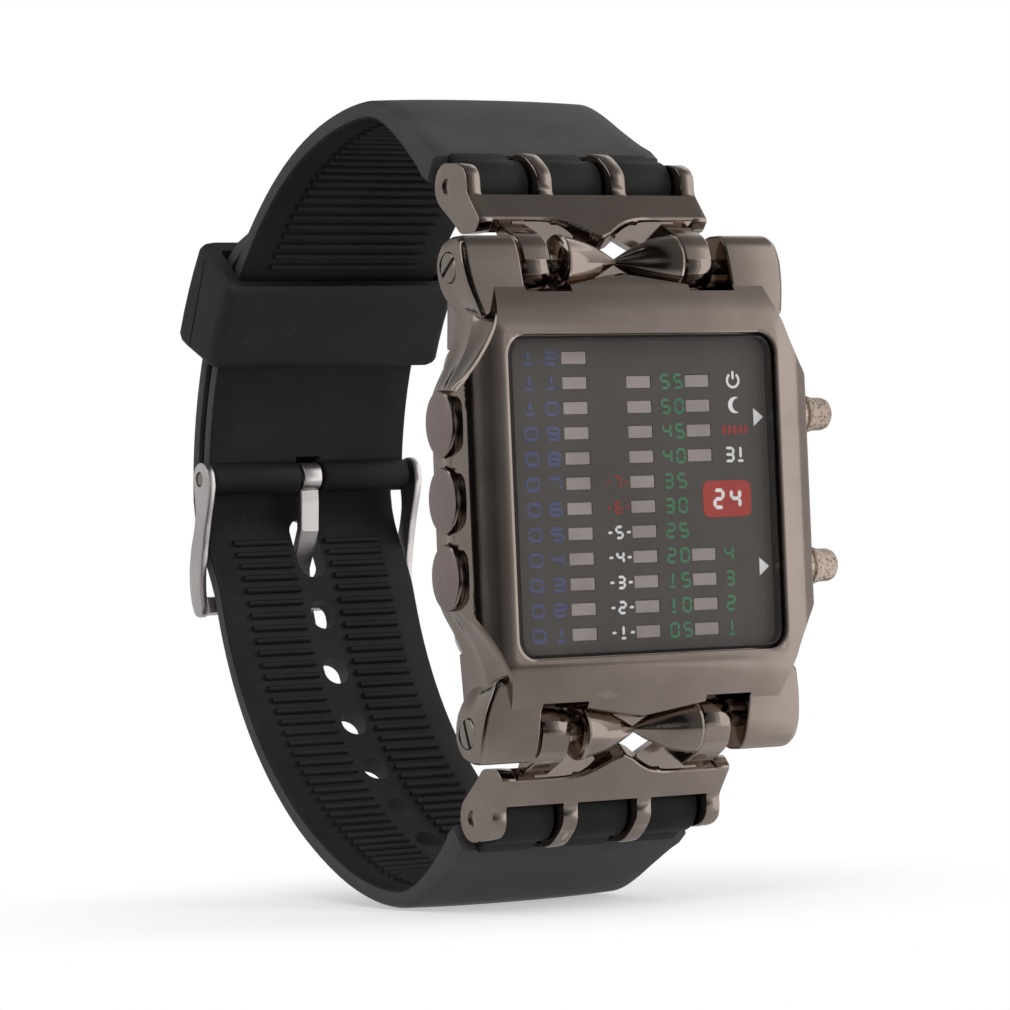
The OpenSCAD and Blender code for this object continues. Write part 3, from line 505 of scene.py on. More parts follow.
def arc_quarter(half_w, half_l, radius):
    """A quarter of a rounded rectangle, with as many points as a quarter of the case."""
    first, second = flank_count + corner_count, end_count + peak_count
    straight_side, arc_end = 0.7, 0.4
    result = []
    for i in range(first + 1):
        f = i/first
        if f < straight_side:
            result.append((half_w, (half_l - radius)*f/straight_side))
        else:
            a = math.pi/4*(f - straight_side)/(1 - straight_side)
            result.append((half_w - radius + radius*math.cos(a), half_l - radius + radius*math.sin(a)))
    for i in range(1, second + 1):
        f = i/second
        if f < arc_end:
            a = math.pi/4*(1 + f/arc_end)
            result.append((half_w - radius + radius*math.cos(a), half_l - radius + radius*math.sin(a)))
        else:
            result.append(((half_w - radius)*(1 - f)/(1 - arc_end), half_l))
    return result


def all_round(quarter):
    """The whole loop from one quarter, by mirroring."""
    back_again = quarter[::-1]
    return (quarter[:-1] + [(-x, z) for x, z in back_again[:-1]]
        + [(-x, -z) for x, z in quarter[:-1]] + [(x, -z) for x, z in back_again[:-1]])


bulge = [(0, 0.62), (5, 0.60), (7, 0.50), (8.2, 0.34), (9.8, 0.0), (12.2, -0.25), (13.5, -0.1), (15, 0)]


def bulged(plan):
    """The pusher side swells a little between its corners, so that the pushers sit close."""
    return [(x + follow(bulge, abs(z))*min(max((x - 15)/3, 0), 1), z) for x, z in plan]


crest = bulged(all_round(front_quarter(19.6, (19.6, 12.5), (16.4, 12.9), 15.0)))
crease = bulged(all_round(front_quarter(19.55, (19.5, 12.2), (16.0, 12.4), 15.9)))
low_edge = all_round(front_quarter(19.0, (19.0, 11.6), (15.9, 12.6), 15.7))
print("points round the case:", len(crest))

# %% Rings of the case front
def ring_at(plan, height):
    return [(x, -height, z) for x, z in plan]


def partway(one, other, share):
    """A plan that lies a share of the way from one plan to another."""
    return [(a[0] + (b[0] - a[0])*share, a[1] + (b[1] - a[1])*share) for a, b in zip(one, other)]


def inset(plan, towards, length):
    """Moves each point of a plan by a length along the line to its partner."""
    result = []
    for a, b in zip(plan, towards):
        gap = math.hypot(b[0] - a[0], b[1] - a[1])
        share = length/gap
        result.append((a[0] + (b[0] - a[0])*share, a[1] + (b[1] - a[1])*share))
    return result


lip_h, ledge_h, base_h, back_h = 13.0, 11.1, 5.0, 1.2
rim = all_round(arc_quarter(14.9, 15.2, 2.0))
lip = all_round(arc_quarter(15.3, 15.6, 2.4))
box = all_round(arc_quarter(14.5, 15.5, 3.0))
cavity = all_round(arc_quarter(12.7, 13.7, 3.5))

rings = [ring_at(cavity, back_h), ring_at(cavity, ledge_h), ring_at(rim, ledge_h)]
rings += [ring_at(rim, lip_h - 0.12), ring_at(inset(rim, lip, 0.03), lip_h - 0.03)]
rings += [ring_at(inset(rim, lip, 0.12), lip_h), ring_at(lip, lip_h)]
crown_steps = 22
crest_in = inset(crest, lip, 0.17)
for i in range(1, crown_steps + 1):
    plan = partway(lip, crest_in, math.sin(math.pi/2*i/crown_steps))
    rings.append([(x, -crown_height(x, z), z) for x, z in plan])
for push, drop in ((0.15, 0.03), (0.11, 0.10), (0.02, 0.42), (0.0, 0.55)):
    plan = inset(crest, lip, push)
    rings.append([(x, -crown_height(*edge) + drop, z) for (x, z), edge in zip(plan, crest)])

# %% Flanks and lower box
centre = [(0.0, 0.0)]*len(crest)
# The fall over which a hollow of 1 would draw a ring in to the middle.
full_fall = 60


def flank_ring(share, upper, lower, upper_h, lower_h, hollow):
    """A ring between two plans, drawn in by a hollow that grows with the height of the flank."""
    drawn = [1 - hollow*(top - lower_h)/full_fall for top in upper_h]
    plan = [(x*d, z*d) for (x, z), d in zip(partway(upper, lower, share), drawn)]
    return [(x, -(top + (lower_h - top)*share), z) for (x, z), top in zip(plan, upper_h)]


crest_h = [crown_height(x, z) - 0.55 for x, z in crest]
crease_h = 8.8
for share in (0.25, 0.5, 0.75):
    rings.append(flank_ring(share, crest, crease, crest_h, crease_h + 0.1, 0.10*math.sin(math.pi*share)))
rings += [ring_at(crease, crease_h + 0.1), ring_at(crease, crease_h - 0.1)]
for share in (0.25, 0.5, 0.75):
    height = [crease_h - 0.1]*len(crest)
    rings.append(flank_ring(share, crease, low_edge, height, base_h + 0.35, 0.12*math.sin(math.pi*share)))
rings += [ring_at(low_edge, base_h + 0.35), ring_at(inset(low_edge, centre, 0.1), base_h + 0.1)]
rings += [ring_at(inset(low_edge, centre, 0.4), base_h), ring_at(box, base_h)]
rings += [ring_at(box, back_h + 0.3), ring_at(inset(box, centre, 0.1), back_h + 0.1)]
rings += [ring_at(inset(box, centre, 0.3), back_h)]

case_front = add_piece("case_front", *skin(rings, closed=True), gunmetal, "case", "gunmetal")
print("case front faces:", len(case_front.data.polygons))

# %% [markdown]
# Behind the notches at both ends the real case shows dark metal between the lugs. A long wedge stands for
# it: a side view with soft corners, stretched along the width, as a milled case would have there.

# %% Bridges behind the notches
bridge_half = 15.4
bridge_side = [(-5.3, 14.4), (-2.3, 14.4), (-2.6, 17.5), (-2.9, 20.9), (-3.7, 20.9), (-4.2, 19.0),
    (-5.3, 18.4)]
bridges = []
for end in (-1, 1):
    plan = rounded_outline([(y, end*z) for y, z in bridge_side[::end]], 0.25, 3)
    bridges.append(soft_plate(plan, -bridge_half, bridge_half))
add_piece("case_bridges", *join_parts(bridges), satin_gunmetal, "case", "gunmetal")
print("bridges:", len(bridges))

# %% [markdown]
# The left flank holds three studs in round recesses, the right flank two pockets for the pushers, and
# each end has two notches where the link's knuckles turn. They are cut out, as a mill would do it.

# %% Recesses, pockets and notches
stud_h, stud_pitch, pusher_h, pusher_z = 8.8, 7.2, 8.0, 7.4
cutters = [rod_part((-21, -19.15), 3.3, -stud_h, i*stud_pitch, 64) for i in (-1, 0, 1)]
cutters += [rod_part((18.2, 21), 2.1, -pusher_h, s*pusher_z) for s in (-1, 1)]
for side in (-1, 1):
    for end in (-1, 1):
        x = sorted((side*6.6, side*11.65))
        z = sorted((end*19.35, end*22.5))
        cutters.append(box_part(x, (-13.5, -4), z))
cut_away(case_front, cutters)
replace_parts(case_front, "case_shell")
print("case front with recesses:", len(case_front.data.polygons))

# %% [markdown]
# Four lugs carry the hinge screws. Each is a rounded block whose outer side bends in towards the flank.
# Its side view is stretched along the width, the outer side is bent, and the last rings step inwards,
# so that each edge has a small round and shows the thin bright line of polished metal.

# %% Lugs
def beside(y, z, offsets):
    """Points given by their offsets from a place in the side view."""
    return [(y + a, z + b) for a, b in offsets]


hinge_y, hinge_z = -7.3, 21.9
lug_in, lug_out = 11.65, 17.8
lug_view = [(-4.6, -5.3), (-3.7, -1.8), (-3.15, 0.6), (-2.6, 2.1), (-1.7, 2.95), (0.6, 3.0), (1.7, 2.4),
    (2.3, 0.8), (2.5, -1.5), (2.4, -3.2), (1.7, -4.6), (-1.1, -5.3)]
lug_bend = [(-5.6, -3.2), (-4.6, -2.15), (-3.6, -1.35), (-2.7, -0.8), (-1.8, -0.4), (-0.6, -0.1),
    (0.4, 0.0), (1.4, -0.1), (2.2, -0.3), (3.0, -0.7)]
bend_in_front = [(-11.5, 0.4), (-7.5, 1.0)]
lug_outline = rounded_outline(beside(hinge_y, hinge_z, lug_view), 1.1, 6)
lug_middle = np.mean(lug_outline, axis=0)


def lug_side(outline, back_from_edge):
    """A ring on the outer side of a lug, which bends in more behind than in front."""
    return [(lug_out - back_from_edge + follow(bend_in_front, y)*follow(lug_bend, z - hinge_z), y, z)
        for y, z in outline]


inner_steps = ((0, 0.22), (0.07, 0.07), (0.22, 0))
outer_steps = ((0.6, 0), (0.3, 0.06), (0.1, 0.2), (0.02, 0.36), (0, 0.5))
lug_rings = [[(lug_in + x, y, z) for y, z in shrunk(lug_outline, cut)] for x, cut in inner_steps]
lug_rings += [lug_side(shrunk(lug_outline, cut), x) for x, cut in outer_steps]
lug_inside = shrunk(lug_outline, outer_steps[-1][1])
for share in (0.85, 0.68, 0.5, 0.32, 0.15, 0.04):
    smaller = [tuple(lug_middle + (np.array(p) - lug_middle)*share) for p in lug_inside]
    lug_rings.append(lug_side(smaller, 0))
lug_points, lug_faces = skin(lug_rings)
ways = [(side, end) for side in (-1, 1) for end in (-1, 1)]
four_lugs = [([(side*x, y, end*z) for x, y, z in lug_points], lug_faces) for side, end in ways]
case_lugs = add_piece("case_lugs", *join_parts(four_lugs), gunmetal, "case", "gunmetal")
head_room, head_room_r = (lug_out - 0.95, lug_out + 1), 1.52
cut_away(case_lugs, [rod_part(sorted(side*x for x in head_room), head_room_r, hinge_y, end*hinge_z)
    for side, end in ways])
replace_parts(case_lugs, "case_shell")
print("lug faces:", len(case_lugs.data.polygons))

# %% [markdown]
# Between the knuckles sits a bow: two petals that meet in a thin waist. A lathe would turn it, and so
# does this piece, from a profile whose bulge is a sine. The rims of its bases get a lighter copy of the
# plating, a painted highlight, and a hidden block behind the petals joins them to the case.

# %% Bows
bow_x, bow_r, waist_r, bow_bulge, bow_y, bow_z = 6.5, 2.65, 0.3, 0.4, -8.3, 22.3
bow_end, bow_steps = 0.96*bow_x, 64


def petal_radius(x):
    f = abs(x)/bow_x
    return waist_r + (bow_r - waist_r)*f + bow_bulge*math.sin(math.pi*f)


petal_x = [bow_x*0.955*i/14 for i in range(-14, 15)]
profile = [(-bow_end, 0.05), (-bow_end, 2.4)] + [(x, petal_radius(x)) for x in petal_x]
profile += [(bow_end, 2.4), (bow_end, 0.05)]
rim_r = bow_r + 0.02
rim_profile = [(6.12, 0.05), (6.12, 2.5), (6.18, rim_r), (6.42, rim_r), (6.5, 2.56), (6.5, 0.05)]
petals = [skin(turned_rings(profile, bow_y, end*bow_z, bow_steps)) for end in (-1, 1)]
petals += [box_part((-5.4, 5.4), (bow_y, bow_y + 1.6), sorted((end*19.2, end*22.0))) for end in (-1, 1)]
rims = [skin(turned_rings([(side*x, r) for x, r in rim_profile], bow_y, end*bow_z, bow_steps))
    for end in (-1, 1) for side in (-1, 1)]
case_bows = add_piece("case_bows", *join_parts(petals), gunmetal, "case", "gunmetal", sharp=50)
# The rims take the lighter copy of the plating, a painted highlight.
add_piece("bow_rims", *join_parts(rims), highlight_gunmetal, "case", "gunmetal", sharp=50)
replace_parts(case_bows, "case_shell")
print("bow faces:", len(case_bows.data.polygons))

# %% [markdown]
# A stud is a low oval disc with a domed satin face and a polished side. Screws and pushers are turned
# parts: the screws have a slot, and the pushers a groove and a grainy cap that fingers have worn. The
# springs behind the pushers keep their solids' form.

# %% Studs
stud_middle, stud_w, stud_l, stud_steps = stud_h - 0.65, 2.65, 3.15, 64


def stud_rings(profile, z):
    """Oval rings from pairs of x and a share of the full size."""
    return [[(x, -stud_middle + f*stud_w*math.cos(a), z + f*stud_l*math.sin(a))
        for a in all_angles(stud_steps)] for x, f in profile]


dome = [(-19.84 - 0.24*(1 - f*f), f) for f in (0.01, 0.2, 0.4, 0.6, 0.8, 0.93)]
stud_parts = [skin(stud_rings(dome + [(-19.6, 0.93), (-19.2, 0.93)], i*stud_pitch)) for i in (-1, 0, 1)]
stud_faces = add_piece("stud_faces", *join_parts(stud_parts), satin_gunmetal, "case", "stud", sharp=50)
rim_profile = [(-19.85, 0.925), (-19.87, 0.94), (-19.85, 0.96), (-19.80, 0.98), (-19.70, 0.995),
    (-19.6, 1.0), (-19.2, 1.0), (-19.2, 0.925)]
ring_parts = [skin(stud_rings(rim_profile, i*stud_pitch), closed=True) for i in (-1, 0, 1)]
add_piece("stud_rims", *join_parts(ring_parts), gunmetal, "case", "stud", sharp=70)
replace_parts(stud_faces, "side_studs")

# %% Hinge screws
screw_profile = [(5.3, 0.05), (5.3, 0.7), (5.4, 0.75), (16.9, 0.75), (16.9, 1.45), (17.6, 1.45),
    (17.7, 1.4), (17.75, 1.28), (17.77, 0.05)]
corner_signs = ((-1, -1), (1, -1), (1, 1), (-1, 1))
screws, slots = [], []
for side in (-1, 1):
    for end, slot_turn in ((1, -35), (-1, -70)):
        screws.append(skin(turned_rings([(side*x, r) for x, r in screw_profile], hinge_y, end*hinge_z)))
        a = math.radians(slot_turn)
        along = np.array([math.cos(a), end*math.sin(a)])
        across = np.array([-along[1], along[0]])
        middle = np.array([hinge_y, end*hinge_z])
        corners = [middle + s*2.0*along + t*0.21*across for s, t in corner_signs]
        slots.append(skin([[(x, *c) for c in corners] for x in sorted((side*17.35, side*18.5))]))
hinge_screws = add_piece("slotted_hinge_screws", *join_parts(screws), screw_steel, "case", "screw")
cut_away(hinge_screws, slots)
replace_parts(hinge_screws, "hinge_screws")

# %% Pushers
pusher_profile = [(11.95, 0.05), (11.95, 0.8), (19.4, 0.8), (19.4, 1.85), (19.5, 1.95), (20.5, 1.95),
    (20.6, 1.88), (20.65, 1.72), (20.85, 1.72), (20.9, 1.86), (21.0, 1.92), (21.3, 1.88), (21.9, 1.68),
    (22.3, 1.62), (23.2, 1.6), (23.6, 1.46), (23.9, 1.1), (24.05, 0.65), (24.1, 0.05)]
for name, end in (("upper_pusher", 1), ("lower_pusher", -1)):
    points, faces = skin(turned_rings(pusher_profile, -pusher_h, end*pusher_z))
    cap = add_piece(name + "_cap", points, faces, rough_nickel, name, "pusher", sharp=50)
    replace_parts(cap, name)
    spring = bpy.data.objects.new(name + "_return_spring", nodes[name + "_spring"].data.copy())
    scene.collection.objects.link(spring)
    spring.data.materials.clear()
    spring.data.materials.append(satin_steel)
    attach(spring, "case")
    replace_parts(spring, name + "_spring")
    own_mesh(spring)
print("turned parts made")

# %% [markdown]
# The window is a rounded plate of smoked glass with a polished bevel that sparkles. It lies a hair
# above the printed plate. Figures, signs and badge are thin ink on that plate. The figures are drawn as
# bars with pointed ends, the way such a display writes its numbers, so each is a few small plates.

# %% Window
glass_back, glass_face, bevel_in = 11.74, 12.85, 0.36


def glass_ring(height, push):
    return ring_at(all_round(arc_quarter(14.8 - push, 15.1 - push, 1.9 - push)), height)


flat_rings = [glass_ring(glass_back, bevel_in), glass_ring(glass_face, bevel_in)]
window = add_piece("window", *skin(flat_rings), smoked_glass, "case", "crystal", sharp=20)
bevel_rings = [glass_ring(height, push) for height, push in ((glass_back, 0.0), (12.50, 0.0),
    (12.54, 0.02), (12.83, 0.31), (glass_face, bevel_in), (glass_back, bevel_in))]
add_piece("window_bevel", *skin(bevel_rings, closed=True), bevel_glass, "case", "crystal", sharp=20)
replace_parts(window, "crystal")
print("window made")

# %% Figures
plate_face, ink_t = 11.652, 0.03
strokes = {"0": "abcdef", "1": "hk", "2": "abged", "3": "abgcd", "4": "fgbc", "5": "afgcd", "6": "afgedc",
    "7": "abc", "8": "abcdefg", "9": "abcdfg"}


def flat_shape(outline):
    """A thin closed plate of ink from pairs of x and z."""
    return skin([[(x, -h, z) for x, z in outline] for h in (plate_face, plate_face + ink_t)])


def stroke_bar(a, b, width):
    """A bar with pointed ends between two points."""
    a, b = np.array(a, float), np.array(b, float)
    along = (b - a)/np.linalg.norm(b - a)
    across = np.array([-along[1], along[0]])*width/2
    a, b, tip = a + along*0.02, b - along*0.02, along*width/2
    outline = (a, a + tip + across, b - tip + across, b, b - tip - across, a + tip - across)
    return [tuple(p) for p in outline]


def figure(sign, x, z, w=1.1, h=1.5, width=0.26):
    """One figure of seven strokes, centred at x and z."""
    l, r, t, m, d = x - w/2 + width/2, x + w/2 - width/2, z + h/2 - width/2, z, z - h/2 + width/2
    lines = {"a": ((l, t), (r, t)), "b": ((r, m), (r, t)), "c": ((r, d), (r, m)), "d": ((l, d), (r, d)),
        "e": ((l, d), (l, m)), "f": ((l, m), (l, t)), "g": ((l, m), (r, m)),
        "h": ((x, d + width), (x, t + width/2)), "k": ((x - 0.33*w, d), (x + 0.33*w, d))}
    return [flat_shape(stroke_bar(*lines[s], width)) for s in strokes[sign]]


def printed(name, shapes, finish):
    """A piece of ink from its shapes."""
    add_piece(name, *join_parts(shapes), finish, "case", "dial", weighted=False)


row_pitch = 2.37
row_z = [(5.5 - i)*row_pitch for i in range(12)]
hours, minutes = [], []
for i in range(12):
    for k, sign in enumerate(f"{12 - i:02d}"):
        hours += figure(sign, -12.0 + 2.4*k, row_z[i], 1.6, 1.4, 0.34)
for i in range(1, 12):
    for k, sign in enumerate(f"{60 - 5*i:02d}"):
        minutes += figure(sign, 3.05 + 1.5*k, row_z[i])
for i in range(4):
    minutes += figure(str(4 - i), 9.55, row_z[8 + i])
printed("hour_figures", hours, blue_ink)
printed("minute_figures", minutes, green_ink)
print("figures:", len(hours) + len(minutes), "strokes")

# %% Signs beside the bars
day_x = -2.7
days_white, days_red = [], []
for i in range(7):
    z = row_z[5 + i]
    shapes = figure(str(7 - i), day_x, z, 0.95, 1.3)
    for side in (-1, 1):
        shapes += [flat_shape(stroke_bar((day_x + side*0.75, z), (day_x + side*1.3, z), 0.24))]
    if i < 2:
        days_red += shapes
    else:
        days_white += shapes


def arc_band(x, z, outer, inner, start, stop, steps=18):
    """A bent band of ink between two angles in degrees."""
    angles = [math.radians(start + (stop - start)*i/steps) for i in range(steps + 1)]
    ring = [(x + outer*math.cos(a), z + outer*math.sin(a)) for a in angles]
    ring += [(x + inner*math.cos(a), z + inner*math.sin(a)) for a in reversed(angles)]
    return flat_shape(ring)


sign_x = 10.8
power = [arc_band(sign_x, row_z[1], 0.78, 0.54, 125, 415)]
power += [flat_shape(stroke_bar((sign_x, row_z[1] + 0.05), (sign_x, row_z[1] + 0.95), 0.25))]
moon_angles = [math.radians(60 + 240*i/16) for i in range(17)]
moon = [(sign_x + 0.15 + 0.8*math.cos(a), row_z[2] + 0.8*math.sin(a)) for a in moon_angles]
moon += [(sign_x + 0.55 + 0.72*math.cos(a), row_z[2] + 0.69*math.sin(a)) for a in moon_angles[-3:1:-1]]
grid = [flat_shape([(sign_x + 0.62*k + a*0.2, row_z[3] + b*0.42) for a, b in corner_signs])
    for k in (-2, -1, 0, 1, 2)]
date = figure("3", sign_x - 0.7, row_z[4]) + figure("1", sign_x + 0.55, row_z[4])
arrows = [flat_shape([(13.0, z - 0.85), (14.1, z), (13.0, z + 0.85)]) for z in (7.1, -7.3)]
printed("white_signs", days_white + power + [flat_shape(moon)] + date + arrows, white_ink)
printed("red_signs", days_red + grid, red_ink)

# %% Badge
badge_x, badge_z = 9.6, -0.67
badge_corners = [(badge_x + 2.75*a, badge_z + 1.75*b) for a, b in corner_signs]
badge_plan = rounded_outline(badge_corners, 0.9, 6)
printed("badge", [flat_shape(badge_plan)], badge_ink)
plate_face += ink_t + 0.002
printed("badge_number", figure("2", badge_x - 0.95, badge_z, 1.3, 2.0, 0.36)
    + figure("4", badge_x + 0.95, badge_z, 1.3, 2.0, 0.36), white_ink)

# %% [markdown]
# The links are milled from one block each: ears round the strap pin, knuckles on the hinge screws and a
# wavy plate between them, with two gussets below. A copy of the solid would show its flat facets in the
# polish, so each form is stretched from its own outline with fine arcs and gets a round along its edges.

# %% Link outlines
pin_y, pin_z, link_out = 0.8, 30.3, 12.9
arm_of_ear = [(-3.9, -0.9), (-6.1, -3.7), (-5.1, -4.8), (-2.3, -4.8), (-1.1, -3.7)]
arm_of_knuckle = [(2.6, 3.0), (4.6, 5.6), (4.0, 6.2), (2.75, 4.5), (1.0, 3.75), (-0.6, 3.0), (-1.6, 2.0)]


def arc(y, z, radius, start, stop, steps=28):
    """Points on an arc between two angles in degrees."""
    angles = np.radians(np.linspace(start, stop, steps + 1))
    return [(y + radius*math.cos(a), z + radius*math.sin(a)) for a in angles]


outer_brow = [tuple(p) for p in curve((-0.8, 2.2), (-2.2, 2.2), (-3.9, 1.8), (-3.9, 0.2), 8)]
inner_brow = [tuple(p) for p in curve((-1.89, 2.7), (-3.0, 1.9), (-3.9, 1.2), (-3.9, 0.2), 8)]
outer_ear = arc(pin_y, pin_z, 2.3, -52, 104) + beside(pin_y, pin_z, outer_brow + arm_of_ear)
inner_ear = arc(pin_y, pin_z, 3.3, -99, 122) + beside(pin_y, pin_z, inner_brow + arm_of_ear)
knuckle = arc(hinge_y, hinge_z, 2.15, 166, 379) + beside(hinge_y, hinge_z, arm_of_knuckle)
outer_ear, inner_ear = rounded_outline(outer_ear, 0.4, 3), rounded_outline(inner_ear, 0.4, 3)
knuckle = rounded_outline(knuckle, 0.9, 5)

# %% Wavy plate
plate_w, plate_l, plate_t, plate_slope, wave = 25.5, 3.4, 2.1, math.radians(51), 2.5
half_wave = curve((0.8, 0.3 - plate_l - wave), (2.8, -plate_l - 0.7), (3.6, -plate_l), (6.4, -plate_l), 16)
half_wave = [(0.0, -plate_l - wave)] + [tuple(p) for p in half_wave[1:]]
plate_plan = half_wave + [(plate_w/2, -plate_l), (plate_w/2, 0.0)]
plate_plan += [(-plate_w/2, 0.0), (-plate_w/2, -plate_l)]
plate_plan += [(-x, y) for x, y in reversed(half_wave[1:])]
plate_plan = rounded_outline(plate_plan, 0.4, 4)


def on_plate(x, y, depth):
    """A place on the sloped plate, from its upper front edge."""
    return (x, pin_y - 3.9 + y*math.cos(plate_slope) + depth*math.sin(plate_slope),
        pin_z - 0.9 + y*math.sin(plate_slope) - depth*math.cos(plate_slope))


plate_steps = ((0.0, 0.28), (0.06, 0.18), (0.16, 0.07), (0.3, 0.0), (plate_t - 0.14, 0.0), (plate_t, 0.14))
plate_part = skin([[on_plate(x, y, depth) for x, y in shrunk(plate_plan, cut)]
    for depth, cut in plate_steps])
gusset_plan = [(2.4, 4.6), (2.4, 3.0), (4.6, 1.8), (9.1, 1.5), (9.1, 4.6)]
gusset_parts = [skin([[(side*x, y, hinge_z + z) for x, z in gusset_plan] for y in (-4.9, -3.5)])
    for side in (-1, 1)]

# %% Links
def both_sides(outline, x0, x1, soften):
    """A side view stretched between two places on the left and on the right."""
    return [soft_plate(outline, *sorted((side*x0, side*x1)), soften) for side in (-1, 1)]


link_parts = {
    "ears": both_sides(outer_ear, 11.3, link_out, 0.15) + both_sides(inner_ear, 3.3, 5.0, 0.22),
    "knuckles": both_sides(knuckle, 7.5, 10.7, 0.3),
    "plate": [plate_part] + gusset_parts}
pin_bore_r, hinge_bore_r = 0.78, 0.8
for name, end in (("upper", 1), ("lower", -1)):
    for kind, parts in link_parts.items():
        points, faces = join_parts(parts)
        points = [(x, y, end*z) for x, y, z in points]
        piece = add_piece(f"{name}_link_{kind}", points, faces, gunmetal, name + "_link", "gunmetal")
        if kind == "ears":
            cut_away(piece, [rod_part((-13.5, 13.5), pin_bore_r, pin_y, end*pin_z)])
        if kind == "knuckles":
            cut_away(piece, [rod_part((-11.5, 11.5), hinge_bore_r, hinge_y, end*hinge_z)])
        print(piece.name, "faces:", len(piece.data.polygons))
    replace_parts(piece, name + "_link")

# %% [markdown]
# The buckle's tongue is a bent steel finger and keeps its solid's form. Its flat facets are joined to
# larger faces, and its sharp edges get a small round, as polishing leaves it.

# %% Tongue from its solid
work = bmesh.new()
work.from_mesh(nodes["buckle_tongue"].data)
bmesh.ops.remove_doubles(work, verts=work.verts, dist=2e-6)
bmesh.ops.dissolve_limit(work, angle_limit=math.radians(1.2), verts=work.verts, edges=work.edges)
work.normal_update()
edges = [e for e in work.edges if e.is_manifold and e.calc_face_angle(0) > math.radians(32)]
bmesh.ops.bevel(work, geom=edges, offset=0.15*MM, offset_type="OFFSET", segments=3, profile=0.5,
    affect="EDGES", clamp_overlap=True)
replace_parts(piece_from("tongue", work, satin_steel, "buckle_tongue"), "buckle_tongue")
print("edges of the tongue rounded:", len(edges))

# %% [markdown]
# The strap is moulded rubber: thick at its shoulders, then even, with a crowned outer face that falls to
# rounded edges. It is a skin over cross-sections that follow the closed loop. Rounded knuckles grip the
# strap pins, and an eye holds the buckle's bar.

# %% The strap's course
loop_y, loop_z, loop_r, long_r, strap_t, shoulder_t = 17.5, 0.4, 38.1, 37.3, 2.1, 3.6
body_start, slope = 3.65, math.radians(33)
lap_r = loop_r + strap_t + 0.35


def on_loop(r, a):
    """A place in the side view, by its radius and angle about the loop's middle."""
    return np.array([loop_y + r*math.cos(math.radians(a)), loop_z + r*math.sin(math.radians(a))])


def ease(t):
    """A soft step from 0 to 1."""
    c = min(max(t, 0), 1)
    return c*c*(3 - 2*c)


def long_in(a):
    """Inner radius of the long strap at an angle: it rises over the short one."""
    if a < -37:
        return loop_r + (long_r - loop_r)*ease((a + 90)/30)
    return long_r + (lap_r - long_r)*ease((a + 14)/17)


def run(end, count=16):
    """Centre line and thickness from the shoulder to the top of the loop."""
    u = np.array([math.cos(slope), end*math.sin(slope)])
    start = np.array([pin_y, end*pin_z]) + body_start*u
    top = np.array([loop_y, loop_z + end*(loop_r + strap_t/2)])
    points = curve(start, start + 7.5*u, top - [4, 0], top, count)
    return [(p, strap_t + (shoulder_t - strap_t)*(1 - i/count)**2) for i, p in enumerate(points)]


short_course = run(1) + [(on_loop(loop_r + strap_t/2, a), strap_t) for a in np.arange(87.5, 9, -2.5)]
short_course += [(on_loop(loop_r + strap_t/2, 6.9), strap_t)]
long_course = run(-1) + [(on_loop(long_in(a) + strap_t/2, a), strap_t) for a in np.arange(-87.5, 44, 2.5)]
long_course += [(on_loop(lap_r + strap_t/2, 45.2), strap_t), (on_loop(lap_r + strap_t/2, 46), strap_t*0.6)]
print("strap sections:", len(short_course), len(long_course))

# %% Cross-sections of the strap
width_at = [(-5, 13.5), (1.6, 13.5), (3.0, 13.35), (4.6, 12.85), (6.4, 12.4), (9.8, 12.2),
    (17.5, 12.2), (41.5, 11.7), (70, 11.7)]


def half_width(y):
    return follow(width_at, y)


def normal_at(course, i, outward):
    """The direction out of the loop at a point of a course; outward is 1 or -1 along the run."""
    step = course[min(i + 1, len(course) - 1)][0] - course[max(i - 1, 0)][0]
    step = step/np.linalg.norm(step)
    return np.array([-step[1], step[0]])*outward


def strap_rings(course, outward, round_tip, crown=0.25):
    """Sections with a flat inner face and a crowned outer one."""
    rings = []
    last = len(course) - 1
    for i, (centre_point, thick) in enumerate(course):
        normal = normal_at(course, i, outward)
        w = half_width(centre_point[0])
        fall = crown*min(1.0, 0.35 + i/8)
        if i == 0:
            w, thick = w - 0.25, thick - 0.5
        if round_tip and i > last - 4:
            w -= (0.3, 0.9, 2.2, 3.6)[i - last + 3]
        half = thick/2 - 0.01
        outer = [(w - 0.35)*k/7 for k in range(-7, 8)]
        section = [(u, half - fall*abs(u/w)**2.4) for u in outer]
        edge = half - fall
        flank = [(w - 0.1, edge - 0.12), (w, edge - 0.35), (w, 0.3 - half), (w - 0.1, 0.1 - half),
            (w - 0.35, -half)]
        section += flank
        section += [((w - 0.35)*k/4, -half) for k in range(3, -4, -1)]
        section += [(-u, v) for u, v in reversed(flank)]
        rings.append([(u, *(centre_point + normal*v)) for u, v in section])
    return rings


# %% Knuckles and eyes
def bored_block(x0, x1, y, z, bore, radius_at, steps=48, soften=0.25):
    """A block round a bore along X; radius_at gives its outline from an angle in the side view."""
    angles = all_angles(steps)
    rings = []
    for x, cut in soft_steps(x0, x1, soften):
        rings.append([(x, y + (radius_at(a) - cut)*math.cos(a), z + (radius_at(a) - cut)*math.sin(a))
            for a in angles])
    for x in (x1, x0):
        rings.append([(x, y + bore*math.cos(a), z + bore*math.sin(a)) for a in angles])
    return skin(rings, closed=True)


strap_knuckle_r = 2.6


def knuckle_outline(end):
    """A round knuckle that runs on into the shoulder."""
    def radius_at(a):
        turned = a - end*slope
        if math.cos(turned) <= 0:
            return strap_knuckle_r
        reach = min(1.8/max(abs(math.sin(turned)), 1e-6), (body_start + 0.4)/math.cos(turned))
        return max(strap_knuckle_r, reach)
    return radius_at


